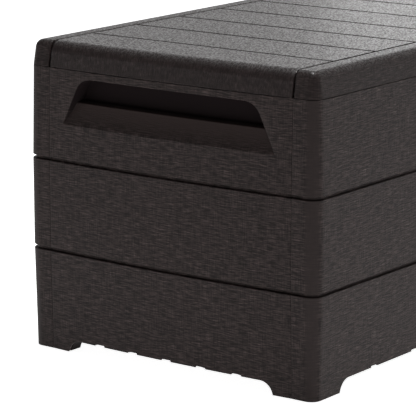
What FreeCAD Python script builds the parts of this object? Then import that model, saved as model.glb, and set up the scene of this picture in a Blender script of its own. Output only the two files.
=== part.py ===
import FreeCAD
import Part
import Sketcher
import math
import os
import re

# Deck storage box, millimetres. +X runs along the box, the front faces -Y, +Z is up.
# The origin is the middle of the footprint on the ground, with the lid closed.

DRIVING = {
    # outside sizes
    "box_length": 1141,
    "box_depth": 560,
    "rim_height": 464.5,
    "lid_top": 506.3,
    "lid_gap": 1.7,
    "corner_radius": 18,
    "end_bow": 6.6,
    "rail_width": 42.7,
    "board_pitch": 115.9,
    # moulded walls
    "skin": 4,
    "crown": 3.2,
    "base_tuck": 0.2,
    "lower_groove": 167.1,
    "upper_groove": 316.3,
    "groove_height": 6,
    "groove_depth": 5,
    "groove_taper": 0.8,
    "rim_width": 14,
    "rim_thickness": 5,
    "panel_seam": 0.4,
    "wall_rib_depth": 13,
    "wall_rib_width": 3,
    # feet and bottom edge
    "wall_bottom": 20.1,
    "arch_radius": 24,
    "foot_front": 69,
    "foot_end": 76,
    "foot_wall": 24,
    "notch_width": 19,
    "notch_height": 2.5,
    "end_notch_pitch": 68,
    "cut_below": 6,
    # floor
    "sill_height": 24,
    "sill_thickness": 3,
    "floor_thickness": 4,
    "floor_rib_depth": 6,
    "seat_gap": 0.3,
    # hand scoops in the end walls
    "scoop_top": 452,
    "scoop_foot": 369,
    "scoop_margin": 26.3,
    "scoop_flare": 41,
    "scoop_corner": 22,
    "ledge_height": 405,
    "ledge_depth": 15,
    "ledge_rise": 9,
    "pocket_depth": 32,
    # corner posts
    "post_thickness": 3,
    "post_front_leg": 52,
    "post_end_leg": 60,
    # lid
    "lid_draft": 8,
    "lid_round": 13,
    "lid_inner_round": 9,
    "board_gap": 3.5,
    "board_groove_depth": 2.5,
    "ledge_lap": 10,
    "ledge_plate": 3,
    "tongue_inset": 9.4,
    "tongue_thickness": 3.6,
    "tongue_low": 471.5,
    "tongue_high": 494,
    "liner_gap": 1,
    "liner_height": 468,
    "liner_thickness": 3,
    "liner_rib_width": 3,
    "liner_rib_gap": 5.3,
    # hinges
    "hinge_spacing": 420,
    "hinge_offset": 7,
    "barrel_radius": 6.5,
    "hinge_pin_radius": 2.5,
    "pin_clearance": 0.05,
    "pin_head": 1.5,
    "hinge_width": 80,
    "knuckle_gap": 0.4,
    "middle_knuckle": 30,
    "leaf_thickness": 2.5,
    "leaf_height": 42,
    "lid_leaf_height": 26,
    "boss_stand": 1.6,
    "boss_margin": 5,
    "boss_low": 416,
    "boss_high": 456,
    "lid_boss_low": 474,
    "lid_boss_high": 494,
    "screw_pitch": 48,
    "body_screw_height": 432,
    "lid_screw_height": 484,
    # screws
    "screw_radius": 2,
    "screw_clearance": 0.1,
    "screw_head_radius": 4,
    "screw_head": 2,
    "screw_length": 7,
    # lid struts
    "strut_plane": 495,
    "strut_arm": 250,
    "strut_sag_angle": 3.6,
    "strut_angle": 72.4,
    "strut_tube_radius": 9,
    "strut_bore_radius": 7.5,
    "strut_rod_radius": 4,
    "strut_cap_clearance": 0.3,
    "strut_piston_clearance": 0.1,
    "strut_tube_start": 17,
    "strut_tube_end": 249,
    "strut_tube_wall": 6,
    "strut_rod_length": 270,
    "strut_piston": 10,
    "strut_neck_radius": 4,
    "strut_eye_radius": 8,
    "strut_eye_width": 8,
    "stud_radius": 3,
    "stud_head_radius": 5,
    "stud_head": 1.6,
    "bracket_side_gap": 0.4,
    "bracket_plate": 4,
    "bracket_width": 34,
    "bracket_height": 64,
    "bracket_margin": 6,
    "web_lap": 1,
    "web_flat": 0.8,
    "lid_bracket_length": 52,
    "bracket_screw_radius": 2.4,
    # padlock tabs
    "tab_half_width": 20,
    "tab_thickness": 4.6,
    "tab_gap": 2.4,
    "tab_plate": 2.6,
    "padlock_radius": 3.5,
    "padlock_offset": 5.8,
}

DERIVED = {
    "half_length": "=box_length / 2",
    "half_depth": "=box_depth / 2",
    "seam_line": "=box_depth / 2 - rail_width",
    "wall_seam": "=seam_line + panel_seam / 2",
    "end_seam": "=seam_line - panel_seam / 2",
    "rail_edge": "=seam_line + board_gap / 2",
    "deck_edge": "=seam_line - board_gap / 2",
    "bow_radius": "=(seam_line ^ 2 + end_bow ^ 2) / (2 * end_bow)",
    "bow_centre": "=half_length + end_bow - bow_radius",
    "lid_bottom": "=rim_height + lid_gap",
    "lid_lean": "=tan(lid_draft * 1 deg) * (lid_top - lid_bottom)",
    "lid_turn": "=lid_lean + lid_round * tan((90 - lid_draft) / 2 * 1 deg) + 0.3",
    "plate_inset": "=lid_turn - 0.8",
    "floor_bottom": "=sill_height + sill_thickness + seat_gap",
    "floor_top": "=floor_bottom + floor_thickness",
    "floor_inset": "=skin + base_tuck + seat_gap",
    "bump_depth": "=groove_depth + skin - crown",
    "hinge_y": "=half_depth + hinge_offset",
    "hinge_z": "=rim_height + lid_gap * 0.3",
    "strut_foot_y": "=hinge_y - strut_arm * cos((strut_sag_angle + strut_angle) * 1 deg)",
    "strut_foot_z": "=hinge_z - strut_arm * sin((strut_sag_angle + strut_angle) * 1 deg)",
    "strut_top_y": "=hinge_y - strut_arm * cos(strut_sag_angle * 1 deg)",
    "strut_top_z": "=hinge_z - strut_arm * sin(strut_sag_angle * 1 deg)",
    "boss_face": "=half_depth + boss_stand",
    "scoop_foot_half": "=seam_line - scoop_margin",
    "scoop_top_half": "=scoop_foot_half - scoop_flare",
    "liner_inset": "=skin + liner_gap",
    "liner_rib_half": "=seam_line - ledge_lap - liner_rib_gap",
    "bracket_low": "=lower_groove + groove_height / 2 + bracket_margin",
    "bracket_z": "=max(strut_foot_z; bracket_low + bracket_height / 2)",
    "bracket_face": "=half_depth + crown - skin - seat_gap",
    "web_run": "=bracket_face - web_lap - strut_foot_y + strut_eye_radius",
    "web_top_rise": "=bracket_z + bracket_height / 2 - strut_foot_z - strut_eye_radius",
    "web_low_rise": "=bracket_z - bracket_height / 2 - strut_foot_z + strut_eye_radius",
    "web_turns": "=tan(45 deg - atan(web_top_rise / web_run) / 2)"
                 " + tan(45 deg + atan(web_low_rise / web_run) / 2)",
    "web_round": "=min(strut_eye_radius; (2 * strut_eye_radius - web_flat) / web_turns)",
}

ENDS = {"left": -1, "right": 1}
SIDES = {"front": -1, "rear": 1}
HINGES = {"left": -1, "middle": 0, "right": 1}
FUNCTIONS = {"sin", "cos", "tan", "sqrt", "asin", "deg", "mm"}
CELL_WORD = re.compile(r"[a-z][a-z_]+")

doc = FreeCAD.newDocument("DeckBox")
sheet = doc.addObject("Spreadsheet::Sheet", "Sizes")


def fill_sheet():
    row = 0
    for name, value in list(DRIVING.items()) + list(DERIVED.items()):
        row += 1
        sheet.set("A%d" % row, name)
        sheet.set("B%d" % row, str(value))
        sheet.setAlias("B%d" % row, name)
    doc.recompute()


def cells(text):
    """Write a plain expression so that its names are cells of the sheet."""
    def point_at_sheet(match):
        word = match.group(0)
        return word if word in FUNCTIONS else "Sizes." + word
    return CELL_WORD.sub(point_at_sheet, text)


def value(text):
    result = sheet.evalExpression(text)
    return float(getattr(result, "Value", result))


def bind(item, prop, text):
    item.setExpression(prop, cells(text))


# ---------------------------------------------------------------- sketches


def fix_point(sketch, geometry, position, x_text, y_text):
    for kind, text in (("DistanceX", x_text), ("DistanceY", y_text)):
        rule = Sketcher.Constraint(kind, -1, 1, geometry, position, value(text))
        index = sketch.addConstraint(rule)
        bind(sketch, "Constraints[%d]" % index, text)


def size_arc(sketch, geometry, text):
    index = sketch.addConstraint(Sketcher.Constraint("Radius", geometry, value(text)))
    bind(sketch, "Constraints[%d]" % index, text)


def arc_between(start, end, radius):
    """Counter-clockwise arc, less than half a turn, from start to end."""
    chord = end - start
    rise = math.sqrt(max(radius ** 2 - chord.Length ** 2 / 4, 0))
    inward = FreeCAD.Vector(-chord.y, chord.x, 0).normalize()
    centre = (start + end) / 2 + inward * rise
    first = math.atan2(start.y - centre.y, start.x - centre.x)
    last = math.atan2(end.y - centre.y, end.x - centre.x)
    if last < first:
        last += 2 * math.pi
    circle = Part.Circle(centre, FreeCAD.Vector(0, 0, 1), radius)
    return Part.ArcOfCircle(circle, first, last)


def corner_cut(before, corner, after, radius):
    """Distance from a corner to where its rounding starts."""
    into = (before - corner).normalize()
    away = (after - corner).normalize()
    half_angle = math.acos(max(-1, min(1, into.dot(away)))) / 2
    return radius / math.tan(half_angle), into, away


def draw_loop(sketch, points, bows=None, closed=True):
    """Join the points with lines. A third entry in a point is its corner radius,
    and bows gives the radius of an edge that is a counter-clockwise arc."""
    bows = bows or {}
    count = len(points)
    spots = [FreeCAD.Vector(value(p[0]), value(p[1]), 0) for p in points]
    starts = list(spots)
    stops = list(spots)
    for i, point in enumerate(points):
        if len(point) > 2:
            cut, into, away = corner_cut(spots[i - 1], spots[i], spots[(i + 1) % count],
                                         value(point[2]))
            stops[i] = spots[i] + into * cut
            starts[i] = spots[i] + away * cut
    edges = []
    edge_count = count if closed else count - 1
    for i in range(edge_count):
        start = starts[i]
        stop = stops[(i + 1) % count]
        if i in bows:
            shape = arc_between(start, stop, value(bows[i]))
        else:
            shape = Part.LineSegment(start, stop)
        edges.append(sketch.addGeometry(shape, False))
    for i, point in enumerate(points):
        first = edges[i] if i < edge_count else None
        last = edges[i - 1] if closed or i > 0 else None
        if len(point) > 2:
            round_corner(sketch, point, spots[i], stops[i], starts[i], last, first)
        elif last is None:
            fix_point(sketch, first, 1, point[0], point[1])
        elif first is None:
            fix_point(sketch, last, 2, point[0], point[1])
        else:
            sketch.addConstraint(Sketcher.Constraint("Coincident", last, 2, first, 1))
            fix_point(sketch, first, 1, point[0], point[1])
    for i, text in bows.items():
        size_arc(sketch, edges[i], text)


def round_corner(sketch, point, spot, stop, start, last, first):
    mark = sketch.addGeometry(Part.Point(spot), True)
    fix_point(sketch, mark, 1, point[0], point[1])
    sketch.addConstraint(Sketcher.Constraint("PointOnObject", mark, 1, last))
    sketch.addConstraint(Sketcher.Constraint("PointOnObject", mark, 1, first))
    turn = (stop - spot).cross(start - spot).z
    if turn < 0:
        arc = sketch.addGeometry(arc_between(stop, start, value(point[2])), False)
        arc_in, arc_out = 1, 2
    else:
        arc = sketch.addGeometry(arc_between(start, stop, value(point[2])), False)
        arc_in, arc_out = 2, 1
    sketch.addConstraint(Sketcher.Constraint("Tangent", last, 2, arc, arc_in))
    sketch.addConstraint(Sketcher.Constraint("Tangent", arc, arc_out, first, 1))
    size_arc(sketch, arc, point[2])


def plane_of(body, role):
    return [f for f in body.Origin.OriginFeatures if f.Role == role][0]


def new_body(label):
    body = doc.addObject("PartDesign::Body", label)
    body.Label = label
    return body


def new_sketch(body, name, role, lift=None):
    """Empty sketch on an origin plane, moved along the plane's normal by lift."""
    sketch = body.newObject("Sketcher::SketchObject", name)
    sketch.AttachmentSupport = [(plane_of(body, role), "")]
    sketch.MapMode = "FlatFace"
    if lift:
        bind(sketch, "AttachmentOffset.Base.z", lift)
    doc.recompute()
    return sketch


def loops(body, name, role, outlines, lift=None):
    sketch = new_sketch(body, name, role, lift)
    for outline in outlines:
        draw_loop(sketch, outline)
    doc.recompute()
    return sketch


def rectangle(x_low, x_high, y_low, y_high):
    return [(x_low, y_low), (x_high, y_low), (x_high, y_high), (x_low, y_high)]


def pad(body, name, sketch, length, both_ways=False):
    feature = body.newObject("PartDesign::Pad", name)
    feature.Profile = sketch
    feature.Midplane = both_ways
    bind(feature, "Length", length)
    doc.recompute()
    return feature


def must_cut(body, name, before):
    if abs(body.Shape.Volume - before) < 1e-3:
        raise RuntimeError("%s of %s cuts nothing" % (name, body.Label))


def pocket_through(body, name, sketch):
    """Cut the sketch right through the body, both ways from its plane."""
    before = body.Shape.Volume
    feature = body.newObject("PartDesign::Pocket", name)
    feature.Profile = sketch
    feature.Type = 1
    feature.Midplane = True
    doc.recompute()
    must_cut(body, name, before)
    return feature


def pocket_in(body, name, sketch, depth):
    """Cut to a depth from the sketch, and turn the cut over if it missed the solid."""
    before = body.Shape.Volume
    feature = body.newObject("PartDesign::Pocket", name)
    feature.Profile = sketch
    bind(feature, "Length", depth)
    doc.recompute()
    if abs(body.Shape.Volume - before) < 1e-3:
        feature.Reversed = True
        doc.recompute()
    must_cut(body, name, before)
    return feature


def revolve_bow(body, name, sketch, axis_line, edge_text):
    """Turn an end section about the far-off centre of the end's bow."""
    feature = body.newObject("PartDesign::Revolution", name)
    feature.Profile = sketch
    feature.ReferenceAxis = (sketch, ["Axis%d" % axis_line])
    feature.Midplane = True
    bind(feature, "Angle", "2 * asin((%s) / bow_radius)" % edge_text)
    doc.recompute()
    return feature


def bow_axis(sketch, side):
    """Construction line up the middle of the bow's circle; returns its axis number."""
    centre = "%d * bow_centre" % side
    low = FreeCAD.Vector(value(centre), 0, 0)
    line = Part.LineSegment(low, low + FreeCAD.Vector(0, value("lid_top"), 0))
    index = sketch.addGeometry(line, True)
    fix_point(sketch, index, 1, centre, "0")
    fix_point(sketch, index, 2, centre, "lid_top")
    return 0


def sweep(body, name, profile, path):
    feature = body.newObject("PartDesign::AdditivePipe", name)
    feature.Profile = profile
    feature.Spine = (path, [])
    doc.recompute()
    return feature


# ---------------------------------------------------------------- primitives


def place(item, x_text, y_text, z_text):
    bind(item, "Placement.Base.x", x_text)
    bind(item, "Placement.Base.y", y_text)
    bind(item, "Placement.Base.z", z_text)


def block(name, x_low, x_high, y_low, y_high, z_low, z_high):
    box = doc.addObject("Part::Box", name)
    bind(box, "Length", "(%s) - (%s)" % (x_high, x_low))
    bind(box, "Width", "(%s) - (%s)" % (y_high, y_low))
    bind(box, "Height", "(%s) - (%s)" % (z_high, z_low))
    place(box, x_low, y_low, z_low)
    return box


TURNS = {
    "+x": FreeCAD.Rotation(FreeCAD.Vector(0, 1, 0), 90),
    "-x": FreeCAD.Rotation(FreeCAD.Vector(0, 1, 0), -90),
    "+y": FreeCAD.Rotation(FreeCAD.Vector(1, 0, 0), -90),
    "-y": FreeCAD.Rotation(FreeCAD.Vector(1, 0, 0), 90),
    "+z": FreeCAD.Rotation(),
    "-z": FreeCAD.Rotation(FreeCAD.Vector(1, 0, 0), 180),
}


def rod(name, x_text, y_text, z_text, towards, length, radius):
    cylinder = doc.addObject("Part::Cylinder", name)
    cylinder.Placement = FreeCAD.Placement(FreeCAD.Vector(), TURNS[towards])
    bind(cylinder, "Radius", radius)
    bind(cylinder, "Height", length)
    place(cylinder, x_text, y_text, z_text)
    return cylinder


def fuse(name, pieces):
    joined = doc.addObject("Part::MultiFuse", name)
    joined.Shapes = pieces
    joined.Refine = True
    doc.recompute()
    return joined


def cut(name, base, tools):
    tool = tools[0]
    if len(tools) > 1:
        tool = fuse(name + "_cutter", tools)
    result = doc.addObject("Part::Cut", name)
    result.Base = base
    result.Tool = tool
    result.Refine = True
    doc.recompute()
    return result


def group(name, pieces):
    compound = doc.addObject("Part::Compound", name)
    compound.Links = pieces
    doc.recompute()
    return compound


# ---------------------------------------------------------------- shared outlines


def groove_outer(height):
    """Outside of a plank groove, from the lower plank to the upper one."""
    low = height + " - groove_height / 2"
    high = height + " + groove_height / 2"
    return [
        ("crown", low),
        ("crown - groove_depth", low + " + groove_taper"),
        ("crown - groove_depth", high + " - groove_taper"),
        ("crown", high),
    ]


def groove_inner(height):
    """Inside of the skin behind a groove, from the upper plank to the lower one."""
    low = height + " - groove_height / 2 - skin"
    high = height + " + groove_height / 2 + skin"
    return [
        ("crown - skin", high),
        ("-bump_depth", high + " - groove_taper"),
        ("-bump_depth", low + " + groove_taper"),
        ("crown - skin", low),
    ]


def wall_section():
    """Skin of a wall as (distance out from the corner plane, height)."""
    points = [("-base_tuck", "0")]
    points += groove_outer("lower_groove")
    points += groove_outer("upper_groove")
    points += [
        ("0", "rim_height"),
        ("-rim_width", "rim_height"),
        ("-rim_width", "rim_height - rim_thickness"),
        ("-skin", "rim_height - rim_thickness"),
    ]
    points += groove_inner("upper_groove")
    points += groove_inner("lower_groove")
    points += [
        ("-skin", "sill_height + sill_thickness"),
        ("-rim_width", "sill_height + sill_thickness"),
        ("-rim_width", "sill_height"),
        ("-skin", "sill_height"),
        ("-skin - base_tuck", "0"),
    ]
    return points


def lid_section():
    """Skirt and rounded edge of the lid as (distance out, height)."""
    inner_lean = "skin / cos(lid_draft * 1 deg)"
    return [
        ("0", "lid_bottom"),
        ("-lid_lean", "lid_top", "lid_round"),
        ("-lid_turn", "lid_top"),
        ("-lid_turn", "lid_top - skin"),
        ("-lid_lean + tan(lid_draft * 1 deg) * skin - " + inner_lean, "lid_top - skin",
         "lid_inner_round"),
        ("-" + inner_lean, "lid_bottom"),
    ]


def across(section, side, plane):
    """Stand a section's distances out from a plane, on side -1 or +1."""
    moved = []
    for point in section:
        moved.append(("%d * (%s + (%s))" % (side, plane, point[0]),) + tuple(point[1:]))
    return moved


def wrap_path(body, name, side, edge):
    """Path of a long side that turns both corners and runs back to its edge."""
    sketch = new_sketch(body, name, "XY_Plane")
    near = "%d * (%s)" % (side, edge)
    far = "%d * half_depth" % side
    draw_loop(sketch, [
        ("-half_length", near),
        ("-half_length", far, "corner_radius"),
        ("half_length", far, "corner_radius"),
        ("half_length", near),
    ], closed=False)
    doc.recompute()
    return sketch


def wrap_sweep(body, name, side, edge, section):
    """Sweep a section along a long side, from its left edge to its right edge."""
    path = wrap_path(body, name + "_path", side, edge)
    profile = new_sketch(body, name + "_section", "XZ_Plane", "%d * (%s)" % (-side, edge))
    draw_loop(profile, across(section, -1, "half_length"))
    doc.recompute()
    return sweep(body, name, profile, path)


def bowed_plan(inset, corner):
    """Whole footprint set in all round, with bowed ends between flat returns."""
    out_x = "half_length - (%s)" % inset
    out_y = "half_depth - (%s)" % inset
    points = []
    for x_sign, y_sign in ((-1, -1), (1, -1)):
        points.append(("%d * (%s)" % (x_sign, out_x), "%d * (%s)" % (y_sign, out_y), corner))
    points += [(out_x, "-seam_line"), (out_x, "seam_line")]
    for x_sign, y_sign in ((1, 1), (-1, 1)):
        points.append(("%d * (%s)" % (x_sign, out_x), "%d * (%s)" % (y_sign, out_y), corner))
    points += [("-(%s)" % out_x, "seam_line"), ("-(%s)" % out_x, "-seam_line")]
    return points, {2: "bow_radius", 6: "bow_radius"}


def opening(half_width, notch_pitch, notch_places):
    """Gap under a wall between two feet, with drain notches in its top edge."""
    points = [
        ("-(%s)" % half_width, "-cut_below"),
        (half_width, "-cut_below"),
        (half_width, "wall_bottom", "arch_radius"),
    ]
    for place_number in sorted(notch_places, reverse=True):
        centre = "%g * %s" % (place_number, notch_pitch)
        points += [
            (centre + " + notch_width / 2", "wall_bottom"),
            (centre + " + notch_width / 2", "wall_bottom + notch_height"),
            (centre + " - notch_width / 2", "wall_bottom + notch_height"),
            (centre + " - notch_width / 2", "wall_bottom"),
        ]
    points.append(("-(%s)" % half_width, "wall_bottom", "arch_radius"))
    return points


FRONT_OPENING = "half_length - foot_front"
END_OPENING = "half_depth - foot_end"
FRONT_NOTCHES = (-3.5, -2.5, -1.5, -0.5, 0.5, 1.5, 2.5, 3.5)
END_NOTCHES = (-2, -1, 0, 1, 2)
WALL_RIBS = (-2, -1, 1, 2)
BOARD_GROOVES = range(-4, 5)
LINER_RIBS = (-4, -2, 0, 2, 4)
FLOOR_RIBS = (-4, -3, -2, -1, 0, 1, 2, 3, 4)
SCREW_SIDES = (-0.5, 0.5)


def hinge_centre(place_number):
    return "%d * hinge_spacing" % place_number


def boss_centres(side):
    """Where the long sides carry raised pads: hinges at the rear, padlock tab in front."""
    if side > 0:
        return [hinge_centre(number) for number in HINGES.values()]
    return ["0"]


def add_bosses(body, side, low, high):
    outlines = []
    half = "hinge_width / 2 + boss_margin" if side > 0 else "tab_half_width + boss_margin"
    for centre in boss_centres(side):
        outlines.append(rectangle("%s - (%s)" % (centre, half), "%s + %s" % (centre, half),
                                  low, high))
    sketch = loops(body, "boss_outline", "XZ_Plane", outlines, "%d * boss_face" % -side)
    feature = pad(body, "bosses", sketch, "boss_stand + skin")
    feature.Reversed = side < 0
    doc.recompute()


def drill(body, side, height, drill_name):
    """Holes for the screws that hold a hinge leaf or a padlock tab."""
    sketch = new_sketch(body, drill_name + "_marks", "XZ_Plane", "%d * boss_face" % -side)
    pitch = "screw_pitch" if side > 0 else "screw_pitch / 2"
    for centre in boss_centres(side):
        for across_side in SCREW_SIDES:
            x_text = "%s + %g * %s" % (centre, across_side, pitch)
            spot = FreeCAD.Vector(value(x_text), value(height), 0)
            radius = "screw_radius + screw_clearance"
            circle = Part.Circle(spot, FreeCAD.Vector(0, 0, 1), value(radius))
            index = sketch.addGeometry(circle, False)
            fix_point(sketch, index, 3, x_text, height)
            size_arc(sketch, index, radius)
    doc.recompute()
    pocket_in(body, drill_name, sketch, "boss_stand + 3 * skin")


# ---------------------------------------------------------------- box


def wall_ribs(body, side):
    """Upright ribs on the inside of a long wall, behind the skin."""
    section = [
        ("-wall_rib_depth", "floor_top + seat_gap"),
        ("-skin / 2", "floor_top + seat_gap"),
    ]
    for height in ("lower_groove", "upper_groove"):
        section += [
            ("crown - skin / 2", height + " - groove_height / 2 - skin"),
            ("-groove_depth + crown - skin / 2", height + " - groove_height / 2"),
            ("-groove_depth + crown - skin / 2", height + " + groove_height / 2"),
            ("crown - skin / 2", height + " + groove_height / 2 + skin"),
        ]
    section += [
        ("-skin / 2", "rim_height - rim_thickness / 2"),
        ("-wall_rib_depth", "rim_height - rim_thickness / 2"),
    ]
    for number, place_number in enumerate(WALL_RIBS):
        sketch = loops(body, "rib_outline_%d" % number, "YZ_Plane",
                       [across(section, side, "half_depth")],
                       "%d * board_pitch * 1.5" % place_number)
        pad(body, "rib_%d" % number, sketch, "wall_rib_width", True)


def long_panel(label, side):
    """Front or rear wall, wrapped round both corners in one moulding."""
    body = new_body(label)
    wrap_sweep(body, "wall", side, "wall_seam", wall_section())
    gap = loops(body, "gap_outline", "XZ_Plane",
                [opening(FRONT_OPENING, "board_pitch", FRONT_NOTCHES)],
                "%d * half_depth" % -side)
    pocket_through(body, "foot_gap", gap)
    wall_ribs(body, side)
    add_bosses(body, side, "boss_low", "boss_high")
    drill(body, side, "body_screw_height", "screw_holes")
    return body


def scoop_profile(side, grow):
    """Depth of the hand scoop against height: a ramp, a ledge and a deep pocket."""
    inner = "%s * skin" % grow
    outer_depth = "(%s) * 0.5 - (1 - (%s)) * 12" % (grow, grow)
    points = [
        (outer_depth, "scoop_foot"),
        ("(%s) * 1.15 - 6 * (1 - (%s))" % (inner, grow), "scoop_foot"),
        ("ledge_depth + 1.15 * (%s)" % inner, "ledge_height - (%s) / 2" % inner),
        ("pocket_depth + (%s)" % inner, "ledge_height + ledge_rise - (%s) / 2" % inner),
        ("pocket_depth + (%s)" % inner, "scoop_top + (%s)" % inner),
        (outer_depth, "scoop_top + (%s)" % inner),
    ]
    section = [("-(%s)" % depth, height) for depth, height in points]
    return across(section, side, "half_length + end_bow")


def scoop_front(grow):
    """The scoop seen from the end: wide at the foot, rounded at the top."""
    inner = "%s * skin" % grow
    top = "scoop_top_half + (%s)" % inner
    foot = "scoop_foot_half + (%s)" % inner
    corner = "scoop_corner + (%s)" % inner
    return [
        ("-(%s)" % foot, "scoop_foot - 1"),
        (foot, "scoop_foot - 1"),
        (top, "scoop_top + (%s)" % inner, corner),
        ("-(%s)" % top, "scoop_top + (%s)" % inner, corner),
    ]


def scoop_solid(label, side, grow):
    """Where the scoop's depth, turned about the bow, meets its outline."""
    turned = new_body(label + "_turned")
    sketch = new_sketch(turned, "depth", "XZ_Plane")
    draw_loop(sketch, scoop_profile(side, grow))
    axis_line = bow_axis(sketch, side)
    doc.recompute()
    revolve_bow(turned, "turned", sketch, axis_line, "seam_line")
    straight = new_body(label + "_straight")
    outline = loops(straight, "front", "YZ_Plane", [scoop_front(grow)],
                    "%d * half_length" % side)
    pad(straight, "straight", outline, "6 * pocket_depth", True)
    common = doc.addObject("Part::MultiCommon", label)
    common.Shapes = [turned, straight]
    doc.recompute()
    return common


def end_panel(label, side):
    """End wall, bowed between its seams, with a moulded hand scoop."""
    body = new_body(label + "_wall")
    sketch = new_sketch(body, "section", "XZ_Plane")
    draw_loop(sketch, across(wall_section(), side, "half_length + end_bow"))
    axis_line = bow_axis(sketch, side)
    doc.recompute()
    revolve_bow(body, "wall", sketch, axis_line, "end_seam")
    gap_body = new_body(label + "_gap")
    gap = loops(gap_body, "gap_outline", "YZ_Plane",
                [opening(END_OPENING, "end_notch_pitch", END_NOTCHES)],
                "%d * half_length" % side)
    pad(gap_body, "foot_gap", gap, "4 * rim_width", True)
    bucket = scoop_solid(label + "_bucket", side, "1")
    hollow = scoop_solid(label + "_hollow", side, "0")
    return cut(label, fuse(label + "_blank", [body, bucket]), [hollow, gap_body])


def corner_block(body, x_side, y_side, outer, thickness, x_leg, y_leg, low, height):
    """L-shaped corner piece that follows the inside of the two walls."""
    far = "(%s) + (%s)" % (outer, thickness)
    corner = "corner_radius - (%s)" % outer
    inner_corner = "corner_radius - (%s)" % far
    thin = value(inner_corner) > 0

    def at(x_in, y_in, *radius):
        return ("%d * (half_length - (%s))" % (x_side, x_in),
                "%d * (half_depth - (%s))" % (y_side, y_in)) + radius

    outline = [
        at(outer, outer, corner),
        at(x_leg, outer),
        at(x_leg, far),
        at(far, far, inner_corner) if thin else at(far, far),
        at(far, y_leg),
        at(outer, y_leg),
    ]
    sketch = loops(body, "plan", "XY_Plane", [outline], low)
    pad(body, "corner", sketch, height)


def foot(label, x_side, y_side):
    body = new_body(label)
    corner_block(body, x_side, y_side, "floor_inset", "foot_wall",
                 "foot_front + arch_radius", "foot_end + arch_radius",
                 None, "sill_height - seat_gap")
    front_gap = loops(body, "front_gap_outline", "XZ_Plane", [opening(FRONT_OPENING, "1", ())],
                      "%d * half_depth" % -y_side)
    pocket_through(body, "front_gap", front_gap)
    end_gap = loops(body, "end_gap_outline", "YZ_Plane", [opening(END_OPENING, "1", ())],
                    "%d * half_length" % x_side)
    pocket_through(body, "end_gap", end_gap)
    return body


def corner_post(label, x_side, y_side):
    body = new_body(label)
    corner_block(body, x_side, y_side, "bump_depth + seat_gap", "post_thickness",
                 "post_front_leg", "post_end_leg", "floor_top + seat_gap",
                 "rim_height - rim_thickness - floor_top - 2 * seat_gap")
    return body


def base_floor():
    body = new_body("base_floor")
    sketch = new_sketch(body, "plan", "XY_Plane", "floor_bottom")
    points, bows = bowed_plan("floor_inset", "corner_radius - floor_inset")
    draw_loop(sketch, points, bows)
    doc.recompute()
    pad(body, "plate", sketch, "floor_thickness")
    reach = "half_depth - rim_width - 2"
    ribs = [rectangle("%d * board_pitch - 1.5" % number, "%d * board_pitch + 1.5" % number,
                      "-(%s)" % reach, reach) for number in FLOOR_RIBS]
    rib_sketch = loops(body, "rib_plan", "XY_Plane", ribs, "floor_bottom - floor_rib_depth")
    pad(body, "ribs", rib_sketch, "floor_rib_depth + 1")
    return body


# ---------------------------------------------------------------- lid


def lid_rail(label, side):
    """Border strip of the lid: a rounded skirt, its top, and a ledge under the boards."""
    body = new_body(label)
    wrap_sweep(body, "skirt", side, "rail_edge", lid_section())
    out_x = "half_length - plate_inset"
    out_y = "%d * (half_depth - plate_inset)" % side
    edge = "%d * rail_edge" % side
    corner = "corner_radius - plate_inset"
    top = loops(body, "top_plan", "XY_Plane", [[
        ("-(%s)" % out_x, edge),
        ("-(%s)" % out_x, out_y, corner),
        (out_x, out_y, corner),
        (out_x, edge),
    ]], "lid_top - skin")
    pad(body, "top", top, "skin")
    ledge_top = "lid_top - skin - board_gap / 8"
    ledge_low = ledge_top + " - ledge_plate"
    inner = "%d * (seam_line - ledge_lap)" % side
    outer = "%d * (seam_line + ledge_lap)" % side
    ledge = loops(body, "ledge_section", "YZ_Plane", [[
        (outer, ledge_low),
        (inner, ledge_low),
        (inner, ledge_top),
        (edge, ledge_top),
        (edge, "lid_top - skin / 2"),
        (outer, "lid_top - skin / 2"),
    ]])
    pad(body, "ledge", ledge, "2 * (half_length - lid_turn)", True)
    tongues = []
    for end in ENDS.values():
        skirt_x = "%d * (half_length - skin * 0.95)" % end
        front_x = "%d * (half_length - tongue_inset)" % end
        back_x = "%d * (half_length - tongue_inset - tongue_thickness)" % end
        tongues.append([
            (skirt_x, outer),
            (skirt_x, edge),
            (front_x, edge),
            (front_x, inner),
            (back_x, inner),
            (back_x, outer),
        ])
    tongue = loops(body, "tongue_plan", "XY_Plane", tongues, "tongue_low")
    pad(body, "tongues", tongue, "tongue_high - tongue_low")
    add_bosses(body, side, "lid_boss_low", "lid_boss_high")
    drill(body, side, "lid_screw_height", "screw_holes")
    return body


def lid_deck():
    """Boarded top with bowed, rounded ends."""
    body = new_body("lid_deck")
    plate = new_sketch(body, "plate_plan", "XY_Plane", "lid_top - skin")
    arc = "bow_radius - plate_inset"
    reach = "bow_centre + sqrt((%s) ^ 2 - deck_edge ^ 2)" % arc
    draw_loop(plate, rectangle("-(%s)" % reach, reach, "-deck_edge", "deck_edge"),
              {1: arc, 3: arc})
    doc.recompute()
    pad(body, "plate", plate, "skin")
    sketch = new_sketch(body, "left_section", "XZ_Plane")
    draw_loop(sketch, across(lid_section(), -1, "half_length + end_bow"))
    axis_line = bow_axis(sketch, -1)
    doc.recompute()
    left_end = revolve_bow(body, "left_end", sketch, axis_line, "deck_edge")
    right_end = body.newObject("PartDesign::Mirrored", "right_end")
    right_end.Originals = [left_end]
    right_end.MirrorPlane = (plane_of(body, "YZ_Plane"), [""])
    body.Tip = right_end
    doc.recompute()
    grooves = [rectangle("%d * board_pitch - board_gap / 2" % number,
                         "%d * board_pitch + board_gap / 2" % number,
                         "-half_depth", "half_depth") for number in BOARD_GROOVES]
    sketch = loops(body, "groove_plan", "XY_Plane", grooves, "lid_top")
    pocket_in(body, "board_grooves", sketch, "board_groove_depth")
    return body


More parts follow.
